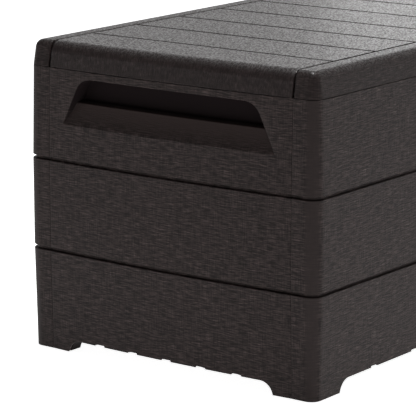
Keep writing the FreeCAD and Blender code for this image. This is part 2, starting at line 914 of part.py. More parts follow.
def lid_liner():
    """Flat inner panel of the lid, with ribs that hold the boards up."""
    body = new_body("lid_liner")
    sketch = new_sketch(body, "plan", "XY_Plane", "liner_height")
    points, bows = bowed_plan("liner_inset", "corner_radius - liner_inset")
    draw_loop(sketch, points, bows)
    doc.recompute()
    pad(body, "plate", sketch, "liner_thickness")
    ribs = [rectangle("%d * board_pitch - liner_rib_width / 2" % number,
                      "%d * board_pitch + liner_rib_width / 2" % number,
                      "-liner_rib_half", "liner_rib_half") for number in LINER_RIBS]
    rib_sketch = loops(body, "rib_plan", "XY_Plane", ribs, "liner_height + 1")
    pad(body, "ribs", rib_sketch, "lid_top - skin - seat_gap - liner_height - 1")
    return body


# ---------------------------------------------------------------- hinges


def screw_holes_through(name, centre, height):
    holes = []
    for number, across_side in enumerate(SCREW_SIDES):
        holes.append(rod("%s_hole_%d" % (name, number),
                         "%s + %g * screw_pitch" % (centre, across_side),
                         "boss_face - 1", height, "+y", "leaf_thickness + 2",
                         "screw_radius + screw_clearance"))
    return holes


def body_leaf(label, centre):
    """Hinge leaf screwed to the box, with the two outer knuckles."""
    left = "%s - hinge_width / 2" % centre
    right = "%s + hinge_width / 2" % centre
    inner = "middle_knuckle / 2 + knuckle_gap"
    face = "boss_face"
    back = "boss_face + leaf_thickness"
    clear = "hinge_z - barrel_radius - knuckle_gap"
    pieces = [block(label + "_plate", left, right, face, back, "hinge_z - leaf_height - 6", clear)]
    for number, (low, high) in enumerate([(left, "%s - (%s)" % (centre, inner)),
                                          ("%s + %s" % (centre, inner), right)]):
        pieces.append(block("%s_tab_%d" % (label, number), low, high, face, back,
                            clear + " - 1", "hinge_z - hinge_pin_radius - 0.8"))
        pieces.append(rod("%s_knuckle_%d" % (label, number), low, "hinge_y", "hinge_z", "+x",
                          "(%s) - (%s)" % (high, low), "barrel_radius"))
    bore = rod(label + "_bore", left + " - 1", "hinge_y", "hinge_z", "+x", "hinge_width + 2",
               "hinge_pin_radius + pin_clearance")
    holes = screw_holes_through(label, centre, "body_screw_height")
    return cut(label, fuse(label + "_blank", pieces), [bore] + holes)


def lid_leaf(label, centre):
    """Hinge leaf screwed to the lid, with the middle knuckle."""
    left = "%s - hinge_width / 2" % centre
    right = "%s + hinge_width / 2" % centre
    low = "%s - middle_knuckle / 2" % centre
    high = "%s + middle_knuckle / 2" % centre
    face = "boss_face"
    back = "boss_face + leaf_thickness"
    clear = "hinge_z + barrel_radius + knuckle_gap"
    pieces = [
        block(label + "_plate", left, right, face, back, clear, "hinge_z + lid_leaf_height + 2"),
        block(label + "_tab", low, high, face, back, "hinge_z + hinge_pin_radius + 0.8",
              clear + " + 1"),
        rod(label + "_knuckle", low, "hinge_y", "hinge_z", "+x", "middle_knuckle",
            "barrel_radius"),
    ]
    bore = rod(label + "_bore", left, "hinge_y", "hinge_z", "+x", "hinge_width",
               "hinge_pin_radius + pin_clearance")
    holes = screw_holes_through(label, centre, "lid_screw_height")
    return cut(label, fuse(label + "_blank", pieces), [bore] + holes)


def hinge_pin(label, centre):
    left = "%s - hinge_width / 2" % centre
    right = "%s + hinge_width / 2" % centre
    shaft = rod(label + "_shaft", left + " - pin_head", "hinge_y", "hinge_z", "+x",
                "hinge_width + 2 * pin_head", "hinge_pin_radius")
    heads = [
        rod(label + "_head_left", left + " - seat_gap / 2", "hinge_y", "hinge_z", "-x",
            "pin_head", "hinge_pin_radius + 1.5"),
        rod(label + "_head_right", right + " + seat_gap / 2", "hinge_y", "hinge_z", "+x",
            "pin_head", "hinge_pin_radius + 1.5"),
    ]
    return fuse(label, [shaft] + heads)


# ---------------------------------------------------------------- screws


def screw(name, x_text, y_text, z_text, towards, radius, length):
    """Pan-head screw whose head sits at the given point and whose shank runs towards."""
    back = {"+y": "-y", "-y": "+y", "+z": "-z", "-z": "+z"}[towards]
    head = rod(name + "_head", x_text, y_text, z_text, back, "screw_head",
               "%s + screw_head_radius - screw_radius" % radius)
    shank = rod(name + "_shank", x_text, y_text, z_text, towards, length, radius)
    return fuse(name, [head, shank])


def row_of_screws(label, side, centres, height, plate, pitch):
    pieces = []
    towards = "-y" if side > 0 else "+y"
    for centre in centres:
        for across_side in SCREW_SIDES:
            pieces.append(screw("%s_%d" % (label, len(pieces)),
                                "%s + %g * %s" % (centre, across_side, pitch),
                                "%d * (boss_face + %s)" % (side, plate), height, towards,
                                "screw_radius", "screw_length"))
    return group(label, pieces)


# ---------------------------------------------------------------- struts


def strut_body(label, x_side, pivot_y, pivot_z, turn_text):
    """Empty body whose own +Z runs along the strut from the given pivot."""
    body = new_body(label)
    bind(body, "Placement.Base.x", "%d * strut_plane" % x_side)
    bind(body, "Placement.Base.y", pivot_y)
    bind(body, "Placement.Base.z", pivot_z)
    body.Placement.Rotation = FreeCAD.Rotation(FreeCAD.Vector(1, 0, 0), 0)
    bind(body, "Placement.Rotation.Angle", turn_text)
    return body


def turned_part(body, points):
    """Revolve a half section, given as (radius, height), about the body's own Z."""
    sketch = new_sketch(body, "half_section", "XZ_Plane")
    draw_loop(sketch, points)
    doc.recompute()
    feature = body.newObject("PartDesign::Revolution", "turned")
    feature.Profile = sketch
    feature.ReferenceAxis = (sketch, ["V_Axis"])
    feature.Angle = 360
    doc.recompute()


def eye(body):
    """Flat round eye across the strut, with its bore for the stud."""
    for name, radius in (("eye", "strut_eye_radius"), ("eye_bore", "stud_radius + pin_clearance")):
        sketch = new_sketch(body, name + "_circle", "YZ_Plane")
        circle = Part.Circle(FreeCAD.Vector(), FreeCAD.Vector(0, 0, 1), value(radius))
        index = sketch.addGeometry(circle, False)
        sketch.addConstraint(Sketcher.Constraint("Coincident", index, 3, -1, 1))
        size_arc(sketch, index, radius)
        doc.recompute()
        if name == "eye":
            pad(body, name, sketch, "strut_eye_width", True)
        else:
            pocket_through(body, name, sketch)


# The strut's lean back from upright while the lid is shut.
CHORD_LEAN = "(strut_sag_angle + strut_angle / 2) * 1 deg"


def strut_cylinder(label, x_side):
    body = strut_body(label, x_side, "strut_foot_y", "strut_foot_z", CHORD_LEAN)
    turned_part(body, [
        ("0", "strut_eye_radius / 2"),
        ("strut_neck_radius", "strut_eye_radius / 2"),
        ("strut_neck_radius", "strut_tube_start"),
        ("strut_tube_radius", "strut_tube_start"),
        ("strut_tube_radius", "strut_tube_end"),
        ("strut_rod_radius + strut_cap_clearance", "strut_tube_end"),
        ("strut_rod_radius + strut_cap_clearance", "strut_tube_end - strut_tube_wall"),
        ("strut_bore_radius", "strut_tube_end - strut_tube_wall"),
        ("strut_bore_radius", "strut_tube_start + strut_tube_wall"),
        ("0", "strut_tube_start + strut_tube_wall"),
    ])
    eye(body)
    return body


def strut_rod(label, x_side):
    body = strut_body(label, x_side, "strut_top_y", "strut_top_z", CHORD_LEAN)
    turned_part(body, [
        ("0", "-strut_eye_radius / 2"),
        ("strut_rod_radius", "-strut_eye_radius / 2"),
        ("strut_rod_radius", "strut_piston - strut_rod_length"),
        ("strut_bore_radius - strut_piston_clearance", "strut_piston - strut_rod_length"),
        ("strut_bore_radius - strut_piston_clearance", "-strut_rod_length"),
        ("0", "-strut_rod_length"),
    ])
    eye(body)
    return body


def stud_pieces(label, x_side, pivot_y, pivot_z):
    """Stud through the strut's eye and the head that keeps the eye on it."""
    towards = "-x" if x_side > 0 else "+x"
    root = "%d * (strut_plane + strut_eye_width / 2 + bracket_side_gap + 1)" % x_side
    tip = "%d * (strut_plane - strut_eye_width / 2 - bracket_side_gap)" % x_side
    return [
        rod(label + "_stud", root, pivot_y, pivot_z, towards,
            "strut_eye_width + 2 * bracket_side_gap + 1 + stud_head / 2", "stud_radius"),
        rod(label + "_stud_head", tip, pivot_y, pivot_z, towards, "stud_head",
            "stud_head_radius"),
    ]


def web_plate(name, x_side, points):
    """Upright web of a bracket, just outboard of the strut's eye."""
    body = new_body(name)
    near = "strut_plane + strut_eye_width / 2 + bracket_side_gap"
    sketch = loops(body, "web_outline", "YZ_Plane", [points],
                   "%d * (%s + bracket_plate / 2)" % (x_side, near))
    pad(body, "web", sketch, "bracket_plate", True)
    return body


def plate_ends(x_side):
    inner = "strut_plane + strut_eye_width / 2 + bracket_side_gap + bracket_plate - bracket_width"
    outer = "strut_plane + strut_eye_width / 2 + bracket_side_gap + bracket_plate"
    if x_side > 0:
        return inner, outer
    return "-(%s)" % outer, "-(%s)" % inner


def wall_bracket(label, x_side):
    """Bracket on the inside of the rear wall that carries the strut's lower stud."""
    low_x, high_x = plate_ends(x_side)
    face = "bracket_face"
    web = web_plate(label + "_web", x_side, [
        (face + " - web_lap", "bracket_z - bracket_height / 2"),
        (face + " - web_lap", "bracket_z + bracket_height / 2"),
        ("strut_foot_y - strut_eye_radius", "strut_foot_z + strut_eye_radius", "web_round"),
        ("strut_foot_y - strut_eye_radius", "strut_foot_z - strut_eye_radius", "web_round"),
    ])
    plate = block(label + "_plate", low_x, high_x, face + " - bracket_plate", face,
                  "bracket_z - bracket_height / 2", "bracket_z + bracket_height / 2")
    studs = stud_pieces(label, x_side, "strut_foot_y", "strut_foot_z")
    holes = []
    for number, x_text, z_text in bracket_screw_places(x_side):
        holes.append(rod("%s_hole_%d" % (label, number), x_text, face + " + 1", z_text, "-y",
                         "bracket_plate + 2", "bracket_screw_radius + screw_clearance"))
    return cut(label, fuse(label + "_blank", [web, plate] + studs), holes)


def bracket_screw_places(x_side):
    """Screw number, x and z of the two screws beside a wall bracket's web."""
    x_text = "%d * (strut_plane - bracket_width / 4)" % x_side
    places = []
    for number, up in enumerate((-1, 1)):
        places.append((number, x_text, "bracket_z + %d * bracket_height / 3" % up))
    return places


def lid_bracket(label, x_side):
    """Bracket under the lid's liner that carries the strut's upper stud."""
    low_x, high_x = plate_ends(x_side)
    top = "liner_height - seat_gap"
    half = "lid_bracket_length / 2"
    web = web_plate(label + "_web", x_side, [
        ("strut_top_y - %s" % half, top + " - web_lap"),
        ("strut_top_y - strut_eye_radius", "strut_top_z - strut_eye_radius", "strut_eye_radius"),
        ("strut_top_y + strut_eye_radius", "strut_top_z - strut_eye_radius", "strut_eye_radius"),
        ("strut_top_y + %s" % half, top + " - web_lap"),
    ])
    plate = block(label + "_plate", low_x, high_x, "strut_top_y - %s" % half,
                  "strut_top_y + %s" % half, top + " - bracket_plate", top)
    studs = stud_pieces(label, x_side, "strut_top_y", "strut_top_z")
    holes = []
    for number, x_text, y_text in lid_bracket_screw_places(x_side):
        holes.append(rod("%s_hole_%d" % (label, number), x_text, y_text, top + " + 1", "-z",
                         "bracket_plate + 2", "bracket_screw_radius + screw_clearance"))
    return cut(label, fuse(label + "_blank", [web, plate] + studs), holes)


def lid_bracket_screw_places(x_side):
    x_text = "%d * (strut_plane - bracket_width / 4)" % x_side
    places = []
    for number, along in enumerate((-1, 1)):
        places.append((number, x_text, "strut_top_y + %d * lid_bracket_length / 3" % along))
    return places


# ---------------------------------------------------------------- padlock tabs


def padlock_tab(label, low, high, plate_low, plate_high, screw_height):
    """Lug with an upright padlock hole on a screwed plate, at the middle of the front."""
    back = "-boss_face"
    pieces = [
        block(label + "_plate", "-tab_half_width", "tab_half_width", "-boss_face - tab_plate",
              back, plate_low, plate_high),
        block(label + "_lug", "-tab_half_width", "tab_half_width",
              "-hinge_y - barrel_radius", back, low, high),
    ]
    tools = [rod(label + "_eye", "0", "padlock_offset - hinge_y - barrel_radius",
                 low + " - 1", "+z", "tab_thickness + 2", "padlock_radius")]
    for number, across_side in enumerate(SCREW_SIDES):
        tools.append(rod("%s_hole_%d" % (label, number),
                         "%g * screw_pitch / 2" % across_side, "1 - boss_face", screw_height,
                         "-y", "tab_plate + 2", "screw_radius + screw_clearance"))
    return cut(label, fuse(label + "_blank", pieces), tools)


# ---------------------------------------------------------------- assembly


def bracket_screws(wall_label, lid_label):
    wall = []
    lid = []
    face = "bracket_face - bracket_plate"
    under = "liner_height - seat_gap - bracket_plate"
    for x_side in ENDS.values():
        for _, x_text, z_text in bracket_screw_places(x_side):
            wall.append(screw("%s_%d" % (wall_label, len(wall)), x_text, face, z_text, "+y",
                              "bracket_screw_radius", "bracket_plate"))
        for _, x_text, y_text in lid_bracket_screw_places(x_side):
            lid.append(screw("%s_%d" % (lid_label, len(lid)), x_text, y_text, under, "+z",
                             "bracket_screw_radius", "bracket_plate"))
    return [group(wall_label, wall), group(lid_label, lid)]


def build_box():
    pieces = [base_floor()]
    for side_name, y_side in SIDES.items():
        pieces.append(long_panel(side_name + "_panel", y_side))
        for end_name, x_side in ENDS.items():
            pieces.append(foot("foot_%s_%s" % (side_name, end_name), x_side, y_side))
            pieces.append(corner_post("corner_post_%s_%s" % (side_name, end_name),
                                      x_side, y_side))
    for end_name, x_side in ENDS.items():
        pieces.append(end_panel(end_name + "_end_panel", x_side))
    return pieces


def build_lid():
    pieces = [lid_deck(), lid_liner()]
    for side_name, y_side in SIDES.items():
        pieces.append(lid_rail("lid_%s_rail" % side_name, y_side))
    return pieces


def build_hinges():
    pieces = []
    centres = []
    for name, number in HINGES.items():
        centre = hinge_centre(number)
        centres.append(centre)
        pieces.append(body_leaf("hinge_%s_box_leaf" % name, centre))
        pieces.append(lid_leaf("hinge_%s_lid_leaf" % name, centre))
        pieces.append(hinge_pin("hinge_%s_pin" % name, centre))
    pieces.append(row_of_screws("hinge_box_screws", 1, centres, "body_screw_height",
                                "leaf_thickness", "screw_pitch"))
    pieces.append(row_of_screws("hinge_lid_screws", 1, centres, "lid_screw_height",
                                "leaf_thickness", "screw_pitch"))
    return pieces


def build_struts():
    pieces = []
    for name, x_side in ENDS.items():
        pieces.append(strut_cylinder("strut_%s_cylinder" % name, x_side))
        pieces.append(strut_rod("strut_%s_rod" % name, x_side))
        pieces.append(wall_bracket("strut_%s_wall_bracket" % name, x_side))
        pieces.append(lid_bracket("strut_%s_lid_bracket" % name, x_side))
    return pieces + bracket_screws("bracket_wall_screws", "bracket_lid_screws")


def build_tabs():
    box_low = "hinge_z - tab_gap / 2 - tab_thickness"
    lid_low = "hinge_z + tab_gap / 2"
    pieces = [
        padlock_tab("padlock_box_tab", box_low, box_low + " + tab_thickness",
                    "body_screw_height - 10", box_low + " + tab_thickness",
                    "body_screw_height"),
        padlock_tab("padlock_lid_tab", lid_low, lid_low + " + tab_thickness",
                    lid_low, "lid_screw_height + 8", "lid_screw_height"),
        row_of_screws("padlock_box_screws", -1, ["0"], "body_screw_height", "tab_plate",
                      "screw_pitch / 2"),
        row_of_screws("padlock_lid_screws", -1, ["0"], "lid_screw_height", "tab_plate",
                      "screw_pitch / 2"),
    ]
    return pieces


def check_states():
    faults = []
    for item in doc.Objects:
        bad = [state for state in item.State if state in ("Invalid", "Error")]
        if bad:
            faults.append("%s %s" % (item.Label, bad))
    return faults


def write_pieces(pieces):
    os.makedirs("parts", exist_ok=True)
    faults = check_states()
    for piece in pieces:
        shape = piece.Shape
        if shape.isNull() or not shape.isValid() or not shape.Solids:
            faults.append(piece.Label + " has no valid solid")
    if faults:
        raise RuntimeError("; ".join(faults))
    for piece in pieces:
        piece.Shape.exportStep("parts/%s.step" % piece.Label)
        box = piece.Shape.BoundBox
        print("%-28s solids %d volume %10.0f  x %8.1f %8.1f  y %7.1f %7.1f  z %6.1f %6.1f" % (
            piece.Label, len(piece.Shape.Solids), piece.Shape.Volume, box.XMin, box.XMax,
            box.YMin, box.YMax, box.ZMin, box.ZMax))


fill_sheet()
write_pieces(build_box() + build_lid() + build_hinges() + build_struts() + build_tabs())
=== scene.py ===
import math
from collections import namedtuple

import bmesh
import bpy
from mathutils import Matrix, Vector


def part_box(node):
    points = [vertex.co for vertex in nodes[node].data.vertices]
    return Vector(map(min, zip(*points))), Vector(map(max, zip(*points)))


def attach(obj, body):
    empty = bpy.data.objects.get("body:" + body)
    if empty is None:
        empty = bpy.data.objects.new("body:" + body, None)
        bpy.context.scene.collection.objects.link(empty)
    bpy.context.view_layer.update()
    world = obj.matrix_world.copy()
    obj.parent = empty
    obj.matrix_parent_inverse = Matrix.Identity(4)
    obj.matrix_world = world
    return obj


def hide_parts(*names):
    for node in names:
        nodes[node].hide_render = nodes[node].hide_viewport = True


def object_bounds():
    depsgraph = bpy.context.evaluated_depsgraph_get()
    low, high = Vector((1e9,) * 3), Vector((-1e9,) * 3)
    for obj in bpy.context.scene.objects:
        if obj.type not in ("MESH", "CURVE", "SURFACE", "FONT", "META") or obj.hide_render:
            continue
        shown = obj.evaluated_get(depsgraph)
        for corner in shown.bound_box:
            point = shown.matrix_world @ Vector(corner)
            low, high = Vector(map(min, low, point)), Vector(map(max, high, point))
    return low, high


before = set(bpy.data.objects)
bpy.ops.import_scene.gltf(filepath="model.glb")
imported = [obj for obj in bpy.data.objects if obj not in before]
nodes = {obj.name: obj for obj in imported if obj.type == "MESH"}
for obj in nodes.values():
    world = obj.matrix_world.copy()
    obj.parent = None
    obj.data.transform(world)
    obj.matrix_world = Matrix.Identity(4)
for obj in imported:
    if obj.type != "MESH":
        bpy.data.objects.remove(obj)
size_at_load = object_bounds()

# ---------------------------------------------------------------- sizes, in metres

MM = 0.001
# Walls: how far their faces stand out past the corner planes, and their rim, sill and corners.
CROWN = 3.2 * MM
TUCK = 0.2 * MM
SKIN = 4 * MM
RIM_WIDTH = 14 * MM
RIM_THICKNESS = 5 * MM
CORNER = 18 * MM
PANEL_SEAM = 0.4 * MM
# Lid boards, and the plank grooves in the walls.
BOARD_GAP = 3.5 * MM
BOARD_PITCH = 115.9 * MM
BOARD_GROOVE = 2.5 * MM
GROOVES = (167.1 * MM, 316.3 * MM)
GROOVE_HEIGHT = 6 * MM
GROOVE_DEPTH = 5 * MM
GROOVE_TAPER = 0.8 * MM
SILL = 24 * MM
SILL_THICKNESS = 3 * MM
# Arched gaps between the feet, with drain notches along them.
WALL_BOTTOM = 20.1 * MM
ARCH = 24 * MM
FOOT_FRONT = 69 * MM
FOOT_END = 76 * MM
NOTCH_WIDTH = 19 * MM
NOTCH_HEIGHT = 2.5 * MM
END_NOTCH_PITCH = 68 * MM
FRONT_NOTCHES = (-3.5, -2.5, -1.5, -0.5, 0.5, 1.5, 2.5, 3.5)
END_NOTCHES = (-2, -1, 0, 1, 2)
# The lid's leaning skirt and rounded shoulders.
LID_DRAFT = math.radians(8)
END_ROUND = 29 * MM
SIDE_ROUND = 34 * MM
SKIRT_DROP = 0.9 * MM
# Hand scoop: a ramp up to a ledge, then a deep pocket up to its rounded top corners.
SCOOP_FOOT = 375.9 * MM
SCOOP_LEDGE = 410.5 * MM
SCOOP_STEP = 414 * MM
SCOOP_TOP = 452 * MM
LEDGE_DEPTH = 15 * MM
POCKET_DEPTH = 32 * MM
SCOOP_FOOT_HALF = 211 * MM
SCOOP_TOP_HALF = 170 * MM
SCOOP_BASE = 368 * MM
SCOOP_CORNER = 30 * MM
SCOOP_BRIM = 1.3 * MM
SCOOP_LIP = 1.7 * MM
SCOOP_HOLD = 1.8 * MM
# Height over which the painted shade in the pocket grows darker upwards.
POCKET_FADE = 26 * MM
# How far an end edge is eased, as (distance from the edge, drop) pairs.
EDGE_DROPS = ((0, 0.8 * MM), (0.3 * MM, 0.28 * MM), (0.9 * MM, 0))
WALL_SOFTNESS = 0.38
# Painted shade deep in the scoop's pocket and along the scoop's inner sides.
POCKET_SHADE = 0.84
SCOOP_EDGE_SHADE = 0.85
# Steps round each rounded corner, and stations along the long pieces.
TURN_STEPS = 4
TURN_POINTS = TURN_STEPS + 3
CORNER_STEPS = 12
FRONT_SPACING = 28 * MM
END_SPACING = 17 * MM
RAIL_STATIONS = 20
END_BOARD_STATIONS = 30
# Hardware, its seats and its screws.
HINGE_PITCH = 420 * MM
HINGE_SEAT_HALF = 45 * MM
TAB_SEAT_HALF = 25 * MM
SEAT_PROUD = 1.6 * MM
WALL_SEAT = (416 * MM, 456 * MM)
LID_SEAT = (474 * MM, 494 * MM)
WALL_SCREWS = 432 * MM
LID_SCREWS = 484 * MM
LEAF_THICKNESS = 2.5 * MM
TAB_THICKNESS = 2.6 * MM
BRACKET_X = 486.5 * MM
LEAF_SCREW_REACH = 24 * MM
TAB_SCREW_REACH = 12 * MM
SCREW_HEAD_HEIGHT = 2 * MM
# Ledge and tongues that join a long rail to the end boards.
LEDGE_HALF = 10 * MM
LEDGE_INSET = 24 * MM
LEDGE_HEIGHTS = (498.9 * MM, 502 * MM)
TONGUE_INSETS = (9.6 * MM, 13 * MM)
TONGUE_HEIGHTS = (471.5 * MM, 486 * MM)
# Upright ribs inside the long walls.
RIB_CLEARANCE = 2 * MM
RIB_BACK = 13 * MM
RIB_FOOT = 32.5 * MM
RIB_TOP_GAP = 2.5 * MM
RIB_HALF = 1.5 * MM
BOARD_CLEARANCE = 1.2 * MM
BOARD_ROUND = 1.2 * MM
BOARD_SEAT = 0.7 * MM
# How far below the lid's flat top its satin film ends.
DECK_FALL = 13 * MM
BOARD_FALL = MM
MOST_SMOOTH = 0.85
CORNER_HOLD = 1.5 * MM
# Screws are given as shank radius, head radius and length.
SCREW = (2 * MM, 4 * MM, 7 * MM)
BRACKET_SCREW = (2.4 * MM, 4.4 * MM, 4 * MM)
WELD = 0.002 * MM
SHARP = math.radians(32)

wall_low, wall_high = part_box("front_panel")
end_low, end_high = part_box("left_end_panel")
deck_low, deck_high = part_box("lid_deck")
HALF_LENGTH = wall_high.x - CROWN
HALF_DEPTH = -wall_low.y - CROWN
END_BOW = -end_low.x - CROWN - HALF_LENGTH
RIM = wall_high.z
SEAM_LINE = end_high.y + PANEL_SEAM / 2
LID_BOTTOM = deck_low.z
LID_TOP = deck_high.z
DECK_EDGE = deck_high.y
RAIL_EDGE = SEAM_LINE + BOARD_GAP / 2
END_BOARD_EDGE = 4 * BOARD_PITCH + BOARD_GAP / 2
SKIRT_LOW = LID_BOTTOM - SKIRT_DROP
LID_LEAN = math.tan(LID_DRAFT) * (LID_TOP - SKIRT_LOW)
BOW_RADIUS = (SEAM_LINE ** 2 + END_BOW ** 2) / (2 * END_BOW)


def bow(across):
    """How far an end stands out past the corner plane, at a place across the box."""
    if abs(across) >= SEAM_LINE:
        return 0
    return math.sqrt(BOW_RADIUS ** 2 - across ** 2) - (BOW_RADIUS - END_BOW)


# ---------------------------------------------------------------- outlines


class Row:
    """One point of an outline: distance out, height, its outward normal and a tag."""

    def __init__(self, out, height, tag):
        self.out = out
        self.height = height
        self.tag = tag
        self.lean = (0, 0)


def turn_points(before, corner, after, radius):
    """Points of a rounded corner, with a holding point just before and after it."""
    here = Vector(corner[:2])
    back = Vector(before[:2]) - here
    on = Vector(after[:2]) - here
    half = back.angle(on) / 2
    reach = min(radius / math.tan(half), 0.42 * back.length, 0.42 * on.length)
    centre_reach = reach / math.cos(half)
    back.normalize()
    on.normalize()
    centre = here + (back + on).normalized() * centre_reach
    first = here + back * reach - centre
    last = here + on * reach - centre
    sweep = first.angle(last)
    hold = min(0.35 * reach, 0.5 * MM)
    points = [here + back * (reach + hold)]
    for step in range(TURN_STEPS + 1):
        share = step / TURN_STEPS
        points.append(centre + (first * math.sin((1 - share) * sweep)
                                + last * math.sin(share * sweep)) / math.sin(sweep))
    points.append(here + on * (reach + hold))
    return points


def outline(points, closed=True):
    """Rows of an outline given as (out, height, corner radius, tag)."""
    rows = []
    count = len(points)
    for number, point in enumerate(points):
        out, height, radius, tag = point
        if radius > 0 and (closed or 0 < number < count - 1):
            for spot in turn_points(points[number - 1], point, points[(number + 1) % count],
                                    radius):
                rows.append(Row(spot.x, spot.y, tag))
        else:
            rows.append(Row(out, height, tag))
    for number, row in enumerate(rows):
        before = rows[number - 1] if closed or number else row
        after = rows[(number + 1) % len(rows)] if closed or number + 1 < len(rows) else row
        along = Vector((after.out - before.out, after.height - before.height)).normalized()
        row.lean = (along.y, -along.x)
    return rows


def groove_face(height):
    """Outside of a plank groove, upwards, with eased lips."""
    low = height - GROOVE_HEIGHT / 2
    high = height + GROOVE_HEIGHT / 2
    return [
        (CROWN, low, 1.1 * MM, "face"),
        (CROWN - GROOVE_DEPTH, low + GROOVE_TAPER, 0.7 * MM, "face"),
        (CROWN - GROOVE_DEPTH, high - GROOVE_TAPER, 0.7 * MM, "face"),
        (CROWN, high, 1.1 * MM, "face"),
    ]


def groove_back(height):
    """Inside of the skin behind a groove, downwards."""
    low = height - GROOVE_HEIGHT / 2 - SKIN
    high = height + GROOVE_HEIGHT / 2 + SKIN
    deep = CROWN - GROOVE_DEPTH - SKIN
    return [
        (CROWN - SKIN, high, 2 * MM, "inside"),
        (deep, high - GROOVE_TAPER, 1.2 * MM, "inside"),
        (deep, low + GROOVE_TAPER, 1.2 * MM, "inside"),
        (CROWN - SKIN, low, 2 * MM, "inside"),
    ]


def wall_foot():
    return [(-TUCK, 0, 0.9 * MM, "face")] + groove_face(GROOVES[0]) + groove_face(GROOVES[1])


def wall_rim():
    return [
        (0, RIM, 0.5 * MM, "face"),
        (-RIM_WIDTH, RIM, 0.8 * MM, "inside"),
        (-RIM_WIDTH, RIM - RIM_THICKNESS, 0.8 * MM, "inside"),
        (-SKIN, RIM - RIM_THICKNESS, 1.2 * MM, "inside"),
    ]


def wall_back():
    return groove_back(GROOVES[1]) + groove_back(GROOVES[0]) + [
        (-SKIN, SILL + SILL_THICKNESS, 0.8 * MM, "inside"),
        (-RIM_WIDTH, SILL + SILL_THICKNESS, 0.7 * MM, "inside"),
        (-RIM_WIDTH, SILL, 0.7 * MM, "inside"),
        (-SKIN, SILL, 0.8 * MM, "inside"),
        (-SKIN - TUCK, 0, 0.7 * MM, "inside"),
    ]


def skin_crown(height):
    """Crown of the wall between its corner plane's top and bottom edges."""
    if height > GROOVES[1]:
        return CROWN * (RIM - height) / (RIM - GROOVES[1] - GROOVE_HEIGHT / 2)
    if height < GROOVES[0]:
        return -TUCK + (CROWN + TUCK) * height / (GROOVES[0] - GROOVE_HEIGHT / 2)
    return CROWN


def gap_height(place, half_width, notches, pitch):
    """Height of the gap between two feet, with its round shoulders and drain notches."""
    inside = half_width - abs(place)
    if inside <= 0:
        return 0
    shoulder = max(ARCH - inside, 0)
    height = WALL_BOTTOM - ARCH + math.sqrt(ARCH ** 2 - shoulder ** 2)
    for notch in notches:
        if abs(place - notch * pitch) < NOTCH_WIDTH / 2:
            height += NOTCH_HEIGHT
    return max(height, 0)


def gap_places(half_width, notches, pitch, spacing):
    """Stations that a wall needs along its bottom edge."""
    places = set()
    for step in range(9):
        across = half_width - ARCH + ARCH * math.sin(math.radians(2 + 10 * step))
        places.update((across, -across))
    for notch in notches:
        for side in (-1, 1):
            for slack in (-0.25, 0.25):
                places.add(notch * pitch + side * (NOTCH_WIDTH / 2 + slack * MM))
    count = int((half_width - ARCH) / spacing)
    for step in range(-count, count + 1):
        places.add(step * spacing)
    kept = []
    for place in sorted(places):
        if not kept or place - kept[-1] > 0.3 * MM:
            kept.append(place)
    return kept


def lifted(row, foot):
    """Distance out and height of a row where the wall's bottom edge is lifted."""
    if foot <= 0 or row.height >= SILL:
        return row.out, row.height
    ease = 1.1 * MM
    if row.height <= ease:
        height = foot + row.height
    else:
        height = foot + ease + (row.height - ease) * (SILL - foot - ease) / (SILL - ease)
    out = row.out
    if row.tag == "face":
        out += (height - row.height) * (CROWN + TUCK) / GROOVES[0]
    return out, height


# ---------------------------------------------------------------- mesh making


